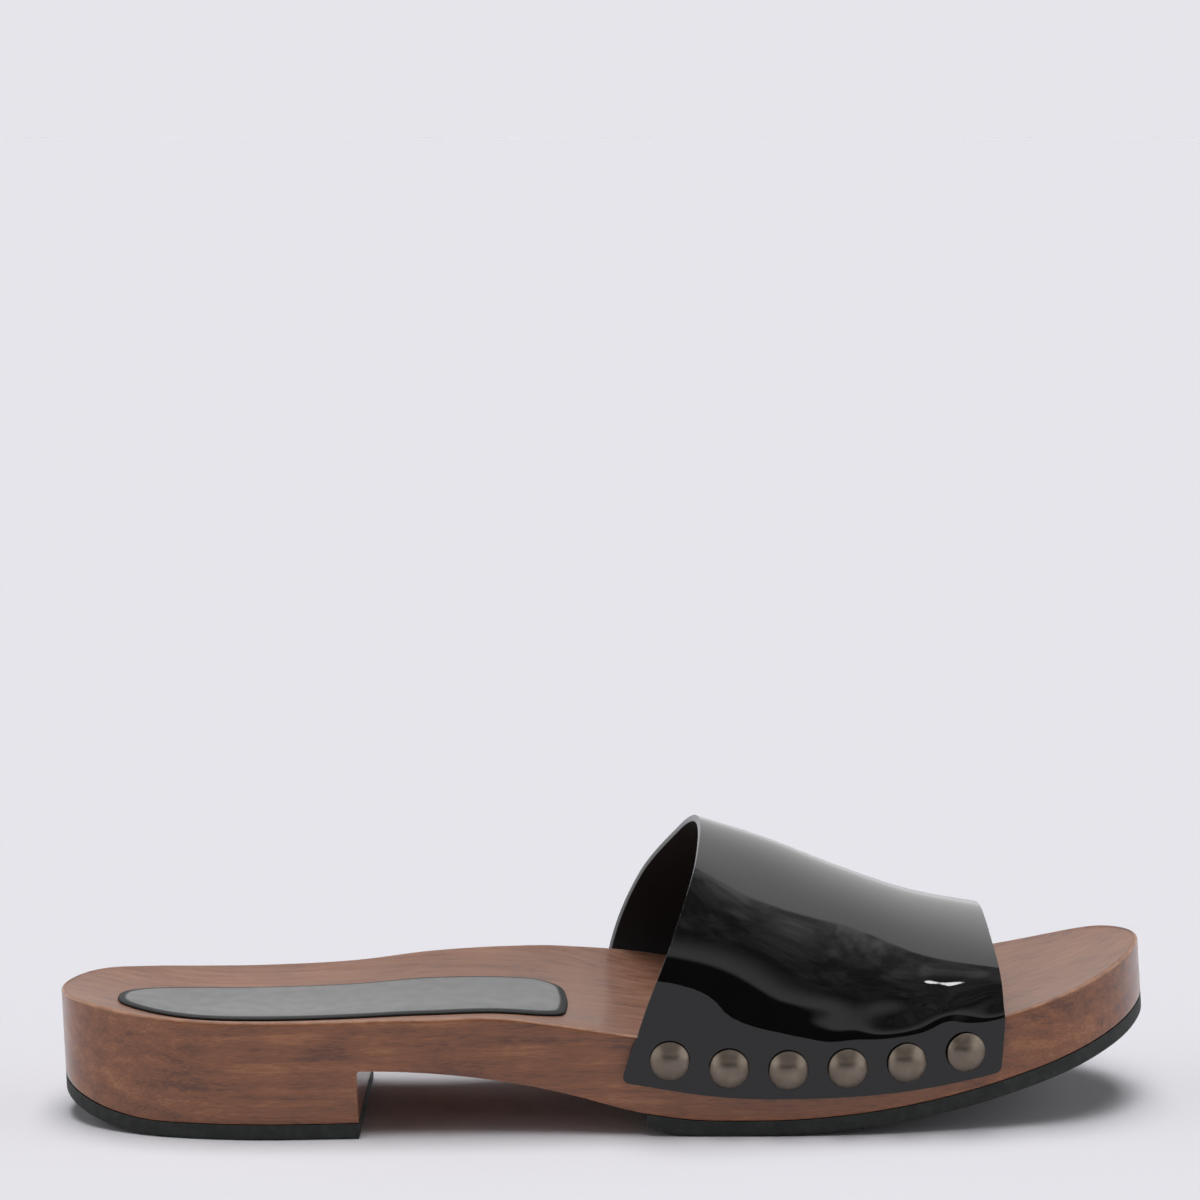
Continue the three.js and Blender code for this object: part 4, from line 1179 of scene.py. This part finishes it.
for side_name, side_seats in zip(("outer", "inner"), seats):
    for number, (at, turn) in enumerate(side_seats, 1):
        name = f"nail_{side_name}_{number}"
        add_piece(name, nail_head(name, at, turn), [bronze_finish], "stud", f"stud_{side_name}_{number}")

# %% [markdown]
# ## Floor
# The shoe stands on a pale sweep of paper whose far end can't be told from the wall. A big plane
# does that, if its own colour is the background's and the light on it adds up to exactly one.

# %% The pale floor
BACKGROUND = rgb(230, 229, 235)
FLOOR_REACH = 30.0


def pale_floor():
    mesh = bpy.data.meshes.new("floor")
    signs = ((-1, -1), (1, -1), (1, 1), (-1, 1))
    corners = [(x * FLOOR_REACH, y * FLOOR_REACH, 0) for x, y in signs]
    mesh.from_pydata(corners, [], [(0, 1, 2, 3)])
    floor = bpy.data.objects.new("floor", mesh)
    bpy.context.scene.collection.objects.link(floor)
    paper = Finish("floor_paper")
    paper.set(base_color=BACKGROUND, roughness=0.9, specular_ior_level=0.0)
    mesh.materials.append(paper.material)


pale_floor()
print("Floor reaches", FLOOR_REACH, "m each way")

# %% [markdown]
# ## Studio light
# Product photographs of glossy things use two tricks at once. A soft box overhead, long from front
# to back and narrow along the shoe, lights it and keeps its shadow short, while white walls beyond
# the heel and the toe fill in from the ends. What the gloss mirrors is arranged apart from that,
# with black cards round the camera, a pale strip between them and a bright ceiling. A world shader
# can do both, because it knows whether a ray comes from a mirror-like bounce. The ceiling's near
# edge lies behind the top of the sky, which is where the strap turns from grey to black.

# %% Soft light for everything that isn't a mirror
ROOM_LIGHT = 0.06
SIDE_LIGHT = 0.8
SIDE_EDGE = (0.45, 0.85)
SOFT_BOX = 4.9
BOX_ACROSS = (0.2, 0.3)
BOX_ALONG = (0.38, 0.58)


def soft_light(room, x, y):
    aside = room.maths("ABSOLUTE", x)
    sides = room.ramp(aside, *SIDE_EDGE, ROOM_LIGHT, ROOM_LIGHT + SIDE_LIGHT)
    across = room.ramp(aside, *BOX_ACROSS, SOFT_BOX, 0.0)
    along = room.ramp(room.maths("ABSOLUTE", y), *BOX_ALONG, 1.0, 0.0)
    return room.maths("MULTIPLY_ADD", across, along, sides)


steps = (np.arange(800) + 0.5) / 400 - 1
sky_x, sky_y = np.abs(np.meshgrid(steps, steps))
sky = ROOM_LIGHT + SIDE_LIGHT * ease(sky_x, *SIDE_EDGE)
sky += SOFT_BOX * (1 - ease(sky_x, *BOX_ACROSS)) * (1 - ease(sky_y, *BOX_ALONG))
print("Light on the floor:", round(float(sky[np.hypot(sky_x, sky_y) < 1].mean()), 3))

# %% What the gloss mirrors
CEILING = (1.1, 1.6)
CEILING_EDGE = math.radians(107)
CEILING_BLUR = 0.015
WALL_LIGHT = 1.3
WALL_EDGE = (0.48, 0.8)
CARD_HIGH = (0.22, 0.78)
CARD_STRIP = 0.7
CARD_LOW = 0.03
# How often the room's clutter, and the gaps in it, repeat along the shoe, across it and up.
CLUTTER = (20, 6, 6)
CLUTTER_GAPS = (9, 5, 5)
LAMP_LIGHT = 16
LAMP_PLACE = (0.5, -0.068, 0.977)
LAMP_NARROW = (2.5, 1, 1)
LAMP_SIZE = 0.034


def black_cards(room, ray, past_edge, z):
    """Dark cards round the camera, a pale strip low between them, and the room's clutter above it."""
    clutter = room.ramp(room.noise(room.scaled(ray, CLUTTER), detail=3), 0.36, 0.66, 0.6, 1.3)
    gaps = room.ramp(room.noise(room.scaled(ray, CLUTTER_GAPS)), 0.4, 0.55, 0.6, 1.1)
    clutter = room.maths("MULTIPLY", clutter, gaps)
    high = room.maths("MULTIPLY", room.ramp(past_edge, -0.45, 0.0, *CARD_HIGH), clutter)
    high = room.maths("MULTIPLY", high, room.ramp(z, 0.45, 0.8))
    strip = room.ramp(z, 0.28, 0.34, 0.0, CARD_STRIP)
    strip = room.maths("MULTIPLY", strip, room.ramp(z, 0.36, 0.66, 1.0, 0.0))
    return room.maths("ADD", room.maths("ADD", high, strip), CARD_LOW)


def mirrored_room(room, ray, x, z):
    over = (0.0, math.sin(CEILING_EDGE), math.cos(CEILING_EDGE))
    past_edge = room.measure("DOT_PRODUCT", ray, over)
    sideways = room.ramp(room.maths("ABSOLUTE", x), *WALL_EDGE)
    front = room.between(black_cards(room, ray, past_edge, z), WALL_LIGHT, sideways)
    away = room.measure("DISTANCE", room.scaled(ray, LAMP_NARROW), LAMP_PLACE)
    front = room.maths("ADD", front, room.ramp(away, LAMP_SIZE * 0.6, LAMP_SIZE, LAMP_LIGHT, 0.0))
    ceiling = room.ramp(z, 0.15, 0.8, *CEILING)
    return room.between(front, ceiling, room.ramp(past_edge, -CEILING_BLUR, CEILING_BLUR))


def glow(room, colour, strength):
    return room.add("Background", {"Color": colour, "Strength": strength}).outputs[0]


def studio_world():
    world = bpy.data.worlds.new("studio")
    world.use_nodes = True
    room = Bench(world.node_tree)
    ray = room.add("TexCoord").outputs["Generated"]
    x, y, z = room.add("SeparateXYZ", {0: ray}).outputs
    path = room.add("LightPath").outputs
    white = (1, 1, 1, 1)
    soft = glow(room, white, soft_light(room, x, y))
    mirrored = glow(room, white, mirrored_room(room, ray, x, z))
    lit = room.add("MixShader", {0: path["Is Glossy Ray"], 1: soft, 2: mirrored}).outputs[0]
    plain = glow(room, BACKGROUND, 1.0)
    seen = room.add("MixShader", {0: path["Is Camera Ray"], 1: lit, 2: plain}).outputs[0]
    room.feed(world.node_tree.nodes["World Output"].inputs["Surface"], seen)
    bpy.context.scene.world = world


studio_world()
bpy.context.scene.view_settings.view_transform = "Standard"
bpy.context.scene.view_settings.look = "None"
print("Studio ready")

# %% [markdown]
# ## Finish
# The dressed shoe must fill the same box as the imported model. The last call brings the scene up
# to date.

# %% Finish
bpy.context.view_layer.update()
